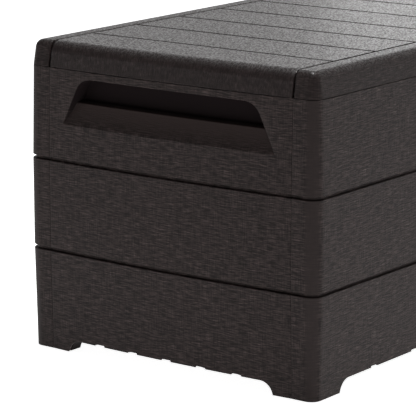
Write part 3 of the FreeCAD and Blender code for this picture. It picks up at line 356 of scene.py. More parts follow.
class Skinner:
    """Collects one piece's closed skins: points, faces, grain coordinates, corner mask and a
    shade mask for painted light and shade.
    """

    def __init__(self):
        self.points = []
        self.masks = []
        self.shades = []
        self.faces = []
        self.grain = []

    def add(self, place, mask=0.0, shade=0.0):
        self.points.append(tuple(place))
        self.masks.append(mask)
        self.shades.append(shade)
        return len(self.points) - 1

    def face(self, corners, grain):
        self.faces.append(tuple(corners))
        self.grain.append([tuple(g) for g in grain])

    def flat(self, corners, grain_of):
        self.face(corners, [grain_of(self.points[c]) for c in corners])

    def tube(self, stations, rows, place, closed=True):
        """Skin swept over stations; place gives (point, grain u, grain v, mask, shade)."""
        grid = []
        for station in stations:
            line = []
            for number, row in enumerate(rows):
                point, u, v, mask, shade = place(station, row, number)
                line.append((self.add(point, mask, shade), (u, v)))
            grid.append(line)
        span = len(rows) if closed else len(rows) - 1
        for left, right in zip(grid, grid[1:]):
            for number in range(span):
                upper = (number + 1) % len(rows)
                ring = (left[number], right[number], right[upper], left[upper])
                self.face([c[0] for c in ring], [c[1] for c in ring])
        return grid

    def cap(self, line):
        self.face([c[0] for c in line], [c[1] for c in line])

    def block(self, low, high, ease):
        """Box with eased edges."""
        shape = bmesh.new()
        bmesh.ops.create_cube(shape, size=1)
        low = Vector(low)
        high = Vector(high)
        size = high - low
        for vert in shape.verts:
            vert.co = (low + high) / 2 + Vector(c * s for c, s in zip(vert.co, size))
        bmesh.ops.bevel(shape, geom=shape.edges[:], offset=min(ease, 0.4 * min(size)),
                        segments=2, profile=0.5, affect="EDGES")
        self.take(shape)

    def prism(self, ring, low, high, axis, ease):
        """Flat outline given thickness along an axis (0 is X, 1 is Y, 2 is Z)."""
        shape = bmesh.new()

        def at(pair, depth):
            spot = list(pair)
            spot.insert(axis, depth)
            return spot

        base = [shape.verts.new(at(pair, low)) for pair in ring]
        top = [shape.verts.new(at(pair, high)) for pair in ring]
        shape.faces.new(base)
        shape.faces.new(list(reversed(top)))
        for number in range(len(ring)):
            after = (number + 1) % len(ring)
            shape.faces.new((base[after], base[number], top[number], top[after]))
        bmesh.ops.recalc_face_normals(shape, faces=shape.faces[:])
        sharp = [e for e in shape.edges if e.calc_face_angle(0) > math.radians(35)]
        if ease > 0:
            bmesh.ops.bevel(shape, geom=sharp, offset=ease, segments=2, profile=0.5,
                            affect="EDGES", clamp_overlap=True)
        self.take(shape)

    def lathe(self, profile, centre, direction, segments=24, hexagon=()):
        """Round piece from (radius, distance) pairs; rings numbered in hexagon have six sides."""
        axis = Vector(direction).normalized()
        side = axis.orthogonal().normalized()
        up = axis.cross(side)
        shape = bmesh.new()
        rings = []
        for number, (radius, distance) in enumerate(profile):
            spot = Vector(centre) + axis * distance
            if radius <= 0:
                rings.append([shape.verts.new(spot)])
                continue
            ring = []
            for step in range(segments):
                angle = 2 * math.pi * step / segments
                reach = radius
                if number in hexagon:
                    turn = (angle + math.pi / 6) % (math.pi / 3) - math.pi / 6
                    reach = radius / math.cos(turn)
                ring.append(shape.verts.new(spot + (side * math.cos(angle)
                                                    + up * math.sin(angle)) * reach))
            rings.append(ring)
        for first, second in zip(rings, rings[1:]):
            for step in range(segments):
                after = (step + 1) % segments
                if len(first) == 1:
                    shape.faces.new((first[0], second[step], second[after]))
                elif len(second) == 1:
                    shape.faces.new((first[step], second[0], first[after]))
                else:
                    shape.faces.new((first[step], second[step], second[after], first[after]))
        bmesh.ops.recalc_face_normals(shape, faces=shape.faces[:])
        self.take(shape)

    def take(self, shape):
        """Add a bmesh; its grain coordinates follow the way each face looks."""
        shape.normal_update()
        first = len(self.points)
        shape.verts.index_update()
        for vert in shape.verts:
            self.add(vert.co)
        for face in shape.faces:
            facing = [abs(c) for c in face.normal]
            drop = facing.index(max(facing))
            self.face([first + v.index for v in face.verts],
                      [[c for axis, c in enumerate(v.co) if axis != drop] for v in face.verts])
        shape.free()

    def mesh(self, name):
        made = bpy.data.meshes.new(name)
        made.from_pydata(self.points, [], self.faces)
        layer = made.uv_layers.new(name="grain")
        number = 0
        for ring in self.grain:
            for pair in ring:
                layer.data[number].uv = pair
                number += 1
        # The shade attribute carries painted shade above 0 and painted light below 0.
        for attribute_name, values in (("corner", self.masks), ("shade", self.shades)):
            attribute = made.attributes.new(attribute_name, "FLOAT", "POINT")
            attribute.data.foreach_set("value", values)
        shape = bmesh.new()
        shape.from_mesh(made)
        bmesh.ops.remove_doubles(shape, verts=shape.verts[:], dist=WELD)
        bmesh.ops.recalc_face_normals(shape, faces=shape.faces[:])
        shape.to_mesh(made)
        shape.free()
        made.validate()
        made.shade_smooth()
        made.set_sharp_from_angle(angle=SHARP)
        return made


def add_seats(skin, side, inner, heights):
    """Raised seats on a long side: three for the hinges, or one for the padlock tab."""
    half, centres = TAB_SEAT_HALF, (0,)
    if side > 0:
        half, centres = HINGE_SEAT_HALF, (-HINGE_PITCH, 0, HINGE_PITCH)
    near, far = sorted((side * inner, side * (HALF_DEPTH + SEAT_PROUD)))
    for centre in centres:
        skin.block((centre - half, near, heights[0]), (centre + half, far, heights[1]),
                   0.9 * MM)


def show(name, mesh, body, material, replaced=()):
    """Put a finished mesh in the scene on a body, in place of the frame nodes it stands for."""
    piece = bpy.data.objects.new(name, mesh)
    bpy.context.scene.collection.objects.link(piece)
    if material is not None:
        mesh.materials.clear()
        mesh.materials.append(material)
    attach(piece, body)
    if replaced:
        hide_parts(*replaced)
    return piece


def baked(piece):
    """Plain mesh of an object as its modifiers leave it."""
    depsgraph = bpy.context.evaluated_depsgraph_get()
    mesh = bpy.data.meshes.new_from_object(piece.evaluated_get(depsgraph), depsgraph=depsgraph)
    piece.modifiers.clear()
    return mesh


def eased_node(node, width):
    """Fresh mesh of a frame node with flat faces merged and sharp edges eased."""
    shape = bmesh.new()
    shape.from_mesh(nodes[node].data)
    bmesh.ops.remove_doubles(shape, verts=shape.verts[:], dist=WELD)
    bmesh.ops.dissolve_limit(shape, angle_limit=math.radians(1), verts=shape.verts[:],
                             edges=shape.edges[:])
    mesh = bpy.data.meshes.new(node + "_plain")
    shape.to_mesh(mesh)
    shape.free()
    mesh.shade_smooth()
    holder = bpy.data.objects.new(node + "_maker", mesh)
    bpy.context.scene.collection.objects.link(holder)
    bevel = holder.modifiers.new("ease", "BEVEL")
    bevel.width = width
    bevel.segments = 2
    bevel.limit_method = "ANGLE"
    bevel.angle_limit = math.radians(35)
    bevel.use_clamp_overlap = True
    weight = holder.modifiers.new("weight", "WEIGHTED_NORMAL")
    weight.keep_sharp = True
    result = baked(holder)
    bpy.data.objects.remove(holder)
    bpy.data.meshes.remove(mesh)
    return result


# ---------------------------------------------------------------- node trees


class Value:
    """A value in a node tree; arithmetic on it adds math nodes."""

    def __init__(self, work, socket):
        self.work = work
        self.socket = socket

    def math(self, operation, first, second):
        return self.work.add("ShaderNodeMath", {0: first, 1: second},
                             operation=operation)["Value"]

    def __add__(self, other):
        return self.math("ADD", self, other)

    def __sub__(self, other):
        return self.math("SUBTRACT", self, other)

    def __rsub__(self, other):
        return self.math("SUBTRACT", other, self)

    def __mul__(self, other):
        return self.math("MULTIPLY", self, other)

    __radd__ = __add__
    __rmul__ = __mul__

    def ramp(self, low, high, start=0.0, end=1.0):
        """start below low, end above high, smooth between."""
        return self.work.add("ShaderNodeMapRange",
                             {"Value": self, "From Min": low, "From Max": high,
                              "To Min": start, "To Max": end},
                             interpolation_type="SMOOTHSTEP")["Result"]


class Wiring:
    """Adds nodes to a tree and joins them up."""

    def __init__(self, tree):
        self.tree = tree

    def feed(self, socket, value):
        if isinstance(value, Value):
            self.tree.links.new(value.socket, socket)
        elif isinstance(value, (tuple, list)) and len(value) == 3 and socket.type == "RGBA":
            socket.default_value = (*value, 1)
        else:
            socket.default_value = value

    def add(self, kind, inputs, **settings):
        """New node with its settings and inputs; gives its outputs as values, by name."""
        node = self.tree.nodes.new(kind)
        for name, setting in settings.items():
            setattr(node, name, setting)
        for name, value in inputs.items():
            self.feed(node.inputs[name], value)
        return {output.name: Value(self, output) for output in node.outputs}


class Growth(Wiring):
    """Geometry tree with named inputs, one of them the finish of what it makes."""

    def __init__(self, name, inputs):
        super().__init__(bpy.data.node_groups.new(name, "GeometryNodeTree"))
        self.tree.is_modifier = True
        self.sockets = {}
        for label, kind in inputs.items():
            socket = self.tree.interface.new_socket(name=label, in_out="INPUT",
                                                    socket_type="NodeSocket" + kind)
            self.sockets[label] = socket.identifier
        self.tree.interface.new_socket(name="Geometry", in_out="OUTPUT",
                                       socket_type="NodeSocketGeometry")
        source = self.tree.nodes.new("NodeGroupInput")
        self.given = {label: Value(self, source.outputs[label]) for label in inputs}

    def line(self, count, start, step):
        return self.add("GeometryNodeMeshLine",
                        {"Count": count, "Start Location": start, "Offset": step},
                        mode="OFFSET")["Mesh"]

    def copies(self, points, piece):
        return self.add("GeometryNodeInstanceOnPoints",
                        {"Points": points, "Instance": piece})["Instances"]

    def real(self, copies):
        return self.add("GeometryNodeRealizeInstances", {"Geometry": copies})["Geometry"]

    def finish(self, copies):
        """Make the copies real, give them their finish and hand them out."""
        done = self.add("GeometryNodeSetMaterial",
                        {"Geometry": self.real(copies), "Material": self.given["Finish"]})
        self.add("NodeGroupOutput", {"Geometry": done["Geometry"]})

    def grow(self, name, mesh, values):
        """Run the tree on a mesh and give back what it makes as a plain mesh."""
        holder = bpy.data.objects.new(name + "_maker", mesh)
        bpy.context.scene.collection.objects.link(holder)
        modifier = holder.modifiers.new("tree", "NODES")
        modifier.node_group = self.tree
        for label, value in values.items():
            modifier[self.sockets[label]] = value
        result = baked(holder)
        bpy.data.objects.remove(holder)
        result.name = name
        return result


def copies_growth():
    """Tree that sets out copies of one small piece in rows of rows."""
    work = Growth("set_out_copies", {
        "Piece": "Geometry", "Start": "Vector", "Count": "Int", "Step": "Vector",
        "Groups": "Int", "Group step": "Vector", "Finish": "Material"})
    given = work.given
    groups = work.line(given["Groups"], given["Start"], given["Group step"])
    row = work.line(given["Count"], (0, 0, 0), given["Step"])
    places = work.real(work.copies(groups, row))
    work.finish(work.copies(places, given["Piece"]))
    return work


def boards_growth():
    """Tree for the lid's boards: one eased board profile drawn out, then set out."""
    work = Growth("lid_boards", {
        "Piece": "Geometry", "Width": "Float", "Thickness": "Float", "Length": "Float",
        "Edge round": "Float", "Boards": "Int", "Pitch": "Float", "Top": "Float",
        "Finish": "Material"})
    given = work.given

    def spot(x, y, z):
        return work.add("ShaderNodeCombineXYZ", {"X": x, "Y": y, "Z": z})["Vector"]

    section = work.add("GeometryNodeCurvePrimitiveQuadrilateral",
                       {"Width": given["Width"], "Height": given["Thickness"]})["Curve"]
    eased = work.add("GeometryNodeFilletCurve",
                     {"Curve": section, "Count": 3, "Radius": given["Edge round"]},
                     mode="POLY")["Curve"]
    half = given["Length"] * 0.5
    path = work.add("GeometryNodeCurvePrimitiveLine",
                    {"Start": spot(0, half * -1, 0), "End": spot(0, half, 0)})["Curve"]
    upright = work.add("GeometryNodeSetCurveNormal", {"Curve": path}, mode="Z_UP")["Curve"]
    board = work.add("GeometryNodeCurveToMesh", {"Curve": upright, "Profile Curve": eased,
                                                 "Fill Caps": True})["Mesh"]
    span = given["Pitch"] * (given["Boards"] - 1)
    height = given["Top"] - given["Thickness"] * 0.5
    row = work.line(given["Boards"], spot(span * -0.5, 0, height), spot(given["Pitch"], 0, 0))
    work.finish(work.copies(row, board))
    return work


# ---------------------------------------------------------------- materials


class Shader(Wiring):
    """One material with a Principled surface and helpers to fill it."""

    def __init__(self, name):
        self.material = bpy.data.materials.new(name)
        self.material.use_nodes = True
        super().__init__(self.material.node_tree)
        self.tree.nodes.clear()
        self.surface = self.tree.nodes.new("ShaderNodeBsdfPrincipled")
        self.end = self.tree.nodes.new("ShaderNodeOutputMaterial").inputs["Surface"]
        self.tree.links.new(self.surface.outputs[0], self.end)

    def stretched(self, place, scales):
        return self.add("ShaderNodeVectorMath", {0: place, 1: scales},
                        operation="MULTIPLY")["Vector"]

    def noise(self, place, scales, detail=2.0, roughness=0.55, distortion=0.0):
        return self.add("ShaderNodeTexNoise",
                        {"Vector": self.stretched(place, scales), "Scale": 1.0,
                         "Detail": detail, "Roughness": roughness,
                         "Distortion": distortion})["Fac"]

    def grain_place(self):
        return self.add("ShaderNodeUVMap", {}, uv_map="grain")["UV"]

    def object_place(self):
        return self.add("ShaderNodeTexCoord", {})["Object"]

    def mask(self, name):
        return self.add("ShaderNodeAttribute", {}, attribute_name=name)["Fac"]

    def blend(self, share, first, second):
        node = self.tree.nodes.new("ShaderNodeMix")
        node.data_type = "RGBA"
        self.feed(node.inputs["Factor"], share)
        self.feed(node.inputs[6], first)
        self.feed(node.inputs[7], second)
        return Value(self, node.outputs[2])

    def relief(self, height, distance, strength=1.0):
        bump = self.add("ShaderNodeBump", {"Height": height, "Distance": distance,
                                           "Strength": strength})["Normal"]
        self.feed(self.surface.inputs["Normal"], bump)

    def paint_shade(self, share, colour):
        """Painted shade: give way by a share to a flat dark colour with no gloss, standing in for
        the shade deep in a recess.
        """
        shade_surface = self.add("ShaderNodeBsdfPrincipled", {"Base Color": colour, "Roughness": 1.0,
                                                     "Specular IOR Level": 0.0})["BSDF"]
        glossy = Value(self, self.surface.outputs[0])
        mixed = self.add("ShaderNodeMixShader", {0: share, 1: glossy, 2: shade_surface})["Shader"]
        self.feed(self.end, mixed)

    def set(self, **values):
        for name, value in values.items():
            label = name.replace("_", " ").title().replace("Ior", "IOR")
            self.feed(self.surface.inputs[label], value)


# Painted shade: the flat dark colour that stands in for the shade deep in the scoop's pocket and
# in the gaps between the lid's boards.
PAINTED_SHADE_COLOUR = (0.0125, 0.0094, 0.0098)
WALL_GRAIN = (58.0, 520.0, 1.0)
DECK_GRAIN = (130.0, 560.0, 130.0)


def grained_resin(name, dark, light, by_grain, scales, roughness, gloss, depth, sheen=0,
                  fall=0):
    """Moulded resin with a brushed wood grain; scales are waves per metre along each axis.

    The corner mask smooths the grain away. A shade from 0 to 1 gives way to painted shade, a flat
    dark colour with no gloss that stands in for the shade deep in a recess, and one below 0
    paints light by lightening the colour. Sheen is the satin film on the lid's flat top, and it
    is gone at a fall below it.
    """
    shader = Shader(name)
    spot = shader.object_place()
    place = shader.grain_place() if by_grain else spot
    fine = shader.noise(place, scales, detail=3.0, roughness=0.65)
    broad = shader.noise(place, [s * 0.4 for s in scales], detail=2.0)
    weave = shader.noise(place, [scales[0] * 8, scales[1] * 0.07, scales[2]], detail=2.0)
    cloud = shader.noise(spot, [9.0, 9.0, 9.0], detail=3.0)
    grain = fine * 0.64 + broad * 0.16 + weave * 0.2
    streak = grain.ramp(0.415, 0.585)
    # Bright flecks: partly the grain's own light flecks, partly painted highlights standing in
    # for small glints.
    fleck_and_glint = grain.ramp(0.57, 0.65)
    plain = 1.0 - shader.mask("corner")
    # Shade mask: painted shade above 0, painted light below 0.
    shade = shader.mask("shade")
    tone = (streak * 0.78 + cloud * 0.22) * plain + (1.0 - plain) * 0.42
    colour = shader.blend(tone, dark, light)
    # Flecks painted up to twice the light colour: partly real flecks, partly painted highlight.
    fleck_glint_colour = [min(c * 2.1, 1) for c in light]
    colour = shader.blend(fleck_and_glint * plain * 0.8, colour, fleck_glint_colour)
    # Painted light: a shade below 0 lightens the colour, as on the scoop's ramp.
    colour = shader.blend(0.0 - shade, colour, light)
    rough = roughness - fleck_and_glint * 0.12 + cloud * 0.06
    shader.set(base_color=colour, roughness=rough, specular_ior_level=gloss)
    # Painted shade: a shade above 0 gives way to the flat dark colour.
    shader.paint_shade(shade.ramp(0.0, 1.0), PAINTED_SHADE_COLOUR)
    if sheen:
        height = shader.add("ShaderNodeSeparateXYZ", {"Vector": spot})["Z"]
        speck = shader.noise(spot, [270.0, 390.0, 270.0], detail=2.0).ramp(0.43, 0.57)
        film = height.ramp(LID_TOP - fall, LID_TOP - fall * 0.05)
        shader.set(coat_weight=film * (speck * 1.1 + 0.1) * sheen, coat_roughness=0.4)
    shader.relief(grain * (plain * 0.85 + 0.15), depth)
    return shader.material


def moulded_resin(name, dark, light, roughness, gloss):
    """Plain moulded resin: faint flow marks and a fine satin pitting."""
    shader = Shader(name)
    place = shader.object_place()
    flow = shader.noise(place, [14.0, 14.0, 34.0], detail=3.0, distortion=0.6)
    pits = shader.noise(place, [900.0, 900.0, 900.0], detail=2.0)
    shader.set(base_color=shader.blend(flow.ramp(0.3, 0.7), dark, light),
               roughness=roughness + flow * 0.08, specular_ior_level=gloss)
    shader.relief(pits + flow * 0.4, 0.00012)
    return shader.material


def coated_steel(name, dark, light, roughness):
    """Powder-coated steel with a fine orange-peel skin."""
    shader = Shader(name)
    place = shader.object_place()
    peel = shader.noise(place, [700.0, 700.0, 700.0], detail=1.0)
    dust = shader.noise(place, [60.0, 60.0, 60.0], detail=4.0)
    shader.set(base_color=shader.blend(dust.ramp(0.4, 0.75), dark, light),
               roughness=roughness + dust * 0.15, specular_ior_level=0.5)
    shader.relief(peel, 0.0001)
    return shader.material


def bare_metal(name, dark, light, scales, roughness):
    """Bare or plated metal with drawn scratches along one way."""
    shader = Shader(name)
    place = shader.object_place()
    drawn = shader.noise(place, scales, detail=3.0)
    stain = shader.noise(place, [90.0, 90.0, 90.0], detail=3.0)
    shader.set(base_color=shader.blend(stain.ramp(0.35, 0.7), dark, light), metallic=1.0,
               roughness=roughness + drawn * 0.16)
    shader.relief(drawn, 0.00004)
    return shader.material


wall_resin = grained_resin("wall_resin", (0.0052, 0.0029, 0.0026), (0.0425, 0.0303, 0.0286),
                           True, WALL_GRAIN, 0.56, 0.16, 0.0016)
rail_resin = grained_resin("rail_resin", (0.007, 0.0041, 0.0037), (0.0305, 0.0213, 0.0202),
                           True, WALL_GRAIN, 0.5, 0.15, 0.0014, 0.8, DECK_FALL)
DECK_TONES = ((0.0105, 0.0066, 0.0062), (0.0275, 0.0196, 0.019))
deck_resin, board_resin = [
    grained_resin(name, *DECK_TONES, False, DECK_GRAIN, 0.48, 0.18, 0.0013, 0.95,
                  fall)
    for name, fall in (("deck_resin", DECK_FALL), ("board_resin", BOARD_FALL))]
foot_resin = moulded_resin("foot_resin", (0.004, 0.0024, 0.0024), (0.009, 0.0058, 0.0058),
                           0.7, 0.08)
inner_resin = moulded_resin("inner_resin", (0.018, 0.016, 0.0155), (0.03, 0.027, 0.026),
                            0.55, 0.35)
tab_resin = moulded_resin("tab_resin", (0.012, 0.011, 0.011), (0.02, 0.018, 0.018), 0.42, 0.5)
hinge_steel = coated_steel("hinge_steel", (0.01, 0.01, 0.011), (0.022, 0.022, 0.023), 0.38)
strut_paint = coated_steel("strut_paint", (0.008, 0.008, 0.009), (0.016, 0.016, 0.017), 0.26)
rod_steel = bare_metal("rod_steel", (0.5, 0.5, 0.51), (0.68, 0.68, 0.69),
                       (400.0, 40.0, 40.0), 0.14)
pin_steel = bare_metal("pin_steel", (0.42, 0.42, 0.43), (0.58, 0.58, 0.59),
                       (40.0, 900.0, 900.0), 0.24)
screw_zinc = bare_metal("screw_zinc", (0.5, 0.5, 0.49), (0.66, 0.65, 0.62),
                        (500.0, 500.0, 500.0), 0.3)


# ---------------------------------------------------------------- long walls


# A place along a wall or rail: how far along it is, where, which way is out, how far its edge
# is eased, the height of the gap under it, how smooth it is, and how far round to the long side.
Station = namedtuple("Station", "along x y out_x out_y drop foot corner front",
                     defaults=(0.0, 0.0, 0.0, 0.0))


def wrap_stations(edge, middle, softness):
    """Stations from the left return, round both front corners, to the right return."""
    flat = HALF_DEPTH - CORNER - edge
    left = []
    for away, drop in EDGE_DROPS:
        left.append(Station(away, -HALF_LENGTH, -edge - away, -1, 0, drop=drop * softness))
    for share in (0.35, 0.7):
        left.append(Station(flat * share, -HALF_LENGTH, -edge - flat * share, -1, 0))
    left.append(Station(flat - CORNER_HOLD, -HALF_LENGTH, -edge - flat + CORNER_HOLD, -1, 0))
    for step in range(CORNER_STEPS + 1):
        angle = math.pi / 2 * step / CORNER_STEPS
        out_x, out_y = -math.cos(angle), -math.sin(angle)
        fade = min(step, CORNER_STEPS - 3 - step)
        left.append(Station(flat + CORNER * angle, -HALF_LENGTH + CORNER * (1 + out_x),
                            -HALF_DEPTH + CORNER * (1 + out_y), out_x, out_y,
                            corner=max(0.0, min(MOST_SMOOTH, 0.25 + 0.4 * fade)),
                            front=step / CORNER_STEPS))
    turn = flat + CORNER * math.pi / 2
    start = -HALF_LENGTH + CORNER
    left.append(Station(turn + CORNER_HOLD, start + CORNER_HOLD, -HALF_DEPTH, 0, -1,
                        front=1.0))
    straight = []
    for place in middle:
        foot = gap_height(place, HALF_LENGTH - FOOT_FRONT, FRONT_NOTCHES, BOARD_PITCH)
        straight.append(Station(turn + place - start, place, -HALF_DEPTH, 0, -1, foot=foot,
                                front=1.0))
    total = 2 * turn + 2 * (HALF_LENGTH - CORNER)
    right = [s._replace(along=total - s.along, x=-s.x, out_x=-s.out_x) for s in reversed(left)]
    return left + straight + right


def long_wall(name, side):
    """Front wall (side -1) or its mirror image at the rear (1), with its raised seats."""
    rows = outline(wall_foot() + wall_rim() + wall_back())
    middle = gap_places(HALF_LENGTH - FOOT_FRONT, FRONT_NOTCHES, BOARD_PITCH, FRONT_SPACING)
    stations = wrap_stations(SEAM_LINE + PANEL_SEAM / 2, middle, WALL_SOFTNESS)
    skin = Skinner()

    def place(station, row, number):
        out, height = lifted(row, station.foot)
        if row.tag == "face" and station.drop:
            out -= row.lean[0] * station.drop
            height -= row.lean[1] * station.drop
        spot = (station.x + station.out_x * out,
                side * -1 * (station.y + station.out_y * out), height)
        return spot, station.along, height, station.corner, 0.0

    grid = skin.tube(stations, rows, place)
    skin.cap(grid[0])
    skin.cap(grid[-1])
    add_seats(skin, side, HALF_DEPTH - SKIN, WALL_SEAT)
    return show(name, skin.mesh(name), "box", wall_resin, (name,))


def scoop_half(height, grow):
    """Half width of the hand scoop's outline at a height; grow is a skin's thickness inside."""
    foot_half = SCOOP_FOOT_HALF + grow
    top_half = SCOOP_TOP_HALF + grow
    top = SCOOP_TOP + grow
    corner = SCOOP_CORNER + grow
    rise = top - SCOOP_BASE
    slant = Vector((foot_half - top_half, -rise)).normalized()
    half_angle = slant.angle(Vector((-1, 0))) / 2
    reach = corner / math.tan(half_angle)
    centre_out = top_half - reach
    centre_up = top - corner
    turn_up = top + slant.y * reach
    height = min(max(height, SCOOP_FOOT), top)
    if height <= turn_up:
        return foot_half + (top_half - foot_half) * (height - SCOOP_BASE) / rise
    return centre_out + math.sqrt(max(corner ** 2 - (height - centre_up) ** 2, 0))


def scoop_rows(grow):
    """Rows through the hand scoop, upwards, as (distance out, height, recess, None)."""
    foot = SCOOP_FOOT - 9 * MM if grow else SCOOP_FOOT
    top = SCOOP_TOP + grow + 0.8 * MM
    low_top = SCOOP_TOP + grow - 0.8 * MM

    def deep(depth, height):
        return depth + skin_crown(height)

    ledge = SCOOP_LEDGE - grow / 2
    step = SCOOP_STEP - grow / 2
    points = [
        (0, foot - 7 * MM, 0, ""),
        (0, foot, 6 * MM, ""),
        (-deep(LEDGE_DEPTH, ledge), ledge, 2.2 * MM, ""),
        (-deep(POCKET_DEPTH, step), step, 3 * MM, ""),
        (-deep(POCKET_DEPTH, low_top), low_top, 2 * MM, ""),
        (0, top, 1.1 * MM, ""),
        (0, top + 2.5 * MM, 0, ""),
    ]
    found = [(row.height, max(-row.out, 0)) for row in outline(points, closed=False)]
    corner = SCOOP_CORNER + grow
    for degrees in (20, 26, 32, 38, 44, 50, 56, 61, 66, 70, 74):
        height = SCOOP_TOP + grow - corner + corner * math.sin(math.radians(degrees))
        if step + 4 * MM < height < low_top - 2.8 * MM:
            found.append((height, deep(POCKET_DEPTH, height)))
    found.append((step + 9 * MM, deep(POCKET_DEPTH, step + 9 * MM)))
    return [(skin_crown(height) - grow, height, recess, None)
            for height, recess in sorted(found)]


def scoop_shade(deep, height):
    """Painted shade of the scoop: dark in the pocket, darker higher up in it; painted light on
    the ramp.
    """
    if deep < MM:
        return 0
    if deep <= POCKET_DEPTH - 6 * MM:
        return -1
    return POCKET_SHADE + 0.1 * min(max((height - SCOOP_STEP) / POCKET_FADE, 0), 1)


def end_wall(name, side):
    """End wall, bowed, with the ramped hand scoop moulded into it."""
    rows = outline(wall_foot() + wall_rim() + wall_back())
    split = 1 + max(n for n, r in enumerate(rows) if r.tag == "face" and r.height < RIM - 20 * MM)
    inside_from = split + 4 * TURN_POINTS

    def plain(chosen):
        return [(row.out, row.height, 0, row) for row in chosen]

    section = plain(rows[:split]) + scoop_rows(0) + plain(rows[split:inside_from])
    section += reversed(scoop_rows(SKIN))
    section += plain(rows[inside_from:])
    inner_from = split + len(scoop_rows(0)) + TURN_POINTS
    edge = SEAM_LINE - PANEL_SEAM / 2
    base_half = scoop_half(SCOOP_FOOT, 0)
    crossings = ((SCOOP_BRIM, 0), (0.4 * MM, 1), (0, 2), (-0.5 * MM, 3), (-SCOOP_LIP, 4))
    eased_edge = EDGE_DROPS[-1][0]
    inside = [p / base_half for p in gap_places(HALF_DEPTH - FOOT_END, END_NOTCHES,
                                                END_NOTCH_PITCH, END_SPACING)]
    half_way = [("edge", away, drop * WALL_SOFTNESS) for away, drop in EDGE_DROPS]
    half_way += [("outer", share, 0) for share in (0.8, 0.55, 0.3)]
    half_way += [("cross", offset, kind) for offset, kind in crossings]
    columns = [(-1,) + column for column in half_way]
    columns += [(1, "inner", share, 0) for share in inside]
    columns += [(1,) + column for column in reversed(half_way)]
    skin = Skinner()

    def recess_at(crossing, recess):
        """Depth at each crossing, from the wall in over the outline's rounded edge."""
        return (0, min(0.35 * MM, 0.3 * recess), min(1.3 * MM, 0.6 * recess),
                max(recess - 1.2 * MM, 0.8 * recess), recess)[crossing]

    def place(column, row, number):
        hand, kind, amount, extra = column
        out, height, recess, source = row
        back = number >= inner_from
        half = scoop_half(height, SKIN if back else 0)
        drop = deep = 0
        if kind == "edge":
            across = edge - amount
            drop = extra
        elif kind == "outer":
            across = half + SCOOP_BRIM + (edge - eased_edge - half - SCOOP_BRIM) * amount
        elif kind == "cross":
            across = half + amount
            deep = recess_at(extra, recess)
        else:
            across = (half - SCOOP_LIP) * amount * base_half / (base_half - SCOOP_LIP)
            across = max(-half + SCOOP_HOLD, min(half - SCOOP_HOLD, across))
            deep = recess
        across *= hand
        if source:
            foot = gap_height(across, HALF_DEPTH - FOOT_END, END_NOTCHES, END_NOTCH_PITCH)
            out, height = lifted(source, foot)
            if source.tag == "face" and drop:
                out -= source.lean[0] * drop
                height -= source.lean[1] * drop
        elif drop and not back:
            out -= drop
        reach = HALF_LENGTH + bow(across) + out - deep
        # Painted shade deep in the pocket and on the scoop's inner sides; painted light on the
        # shallow ramp.
        shade = scoop_shade(deep, height)
        if kind == "cross" and 0 < extra < 4:
            shade = max(shade, SCOOP_EDGE_SHADE * min(recess / (6 * MM), 1))
        smooth = 0 if back else MOST_SMOOTH * min(deep / (4 * MM), 1)
        return (side * reach, across, height), across + HALF_DEPTH, height, smooth, shade

    grid = skin.tube(columns, section, place)
    skin.cap(grid[0])
    skin.cap(grid[-1])
    return show(name, skin.mesh(name), "box", wall_resin, (name,))


# ---------------------------------------------------------------- lid


def skirt_inner(height):
    """Inside face of the leaning skirt at a height."""
    return -SKIN / math.cos(LID_DRAFT) - math.tan(LID_DRAFT) * (height - SKIRT_LOW)


def flat_inset(radius):
    """How far in the lid's flat top starts behind a shoulder of this radius."""
    return LID_LEAN + radius * math.tan(math.pi / 4 - LID_DRAFT / 2) + 0.4 * MM


def skirt_rows(radius):
    """Outer top edge, rounded shoulder, skirt, bottom lip and inside of the lid's edge."""
    under = LID_TOP - SKIN
    inset = flat_inset(radius)
    rows = outline([
        (-inset, LID_TOP, 0, "face"),
        (-LID_LEAN, LID_TOP, radius, "face"),
        (0, SKIRT_LOW, 0.5 * MM, "face"),
        (skirt_inner(SKIRT_LOW), SKIRT_LOW, 0.5 * MM, "inside"),
        (skirt_inner(under), under, radius - SKIN, "inside"),
        (-inset, under, 0, "inside"),
    ], closed=False)
    for row in rows:
        row.lean = (-row.lean[0], -row.lean[1])
    rows[0].lean = (0, 1)
    return rows


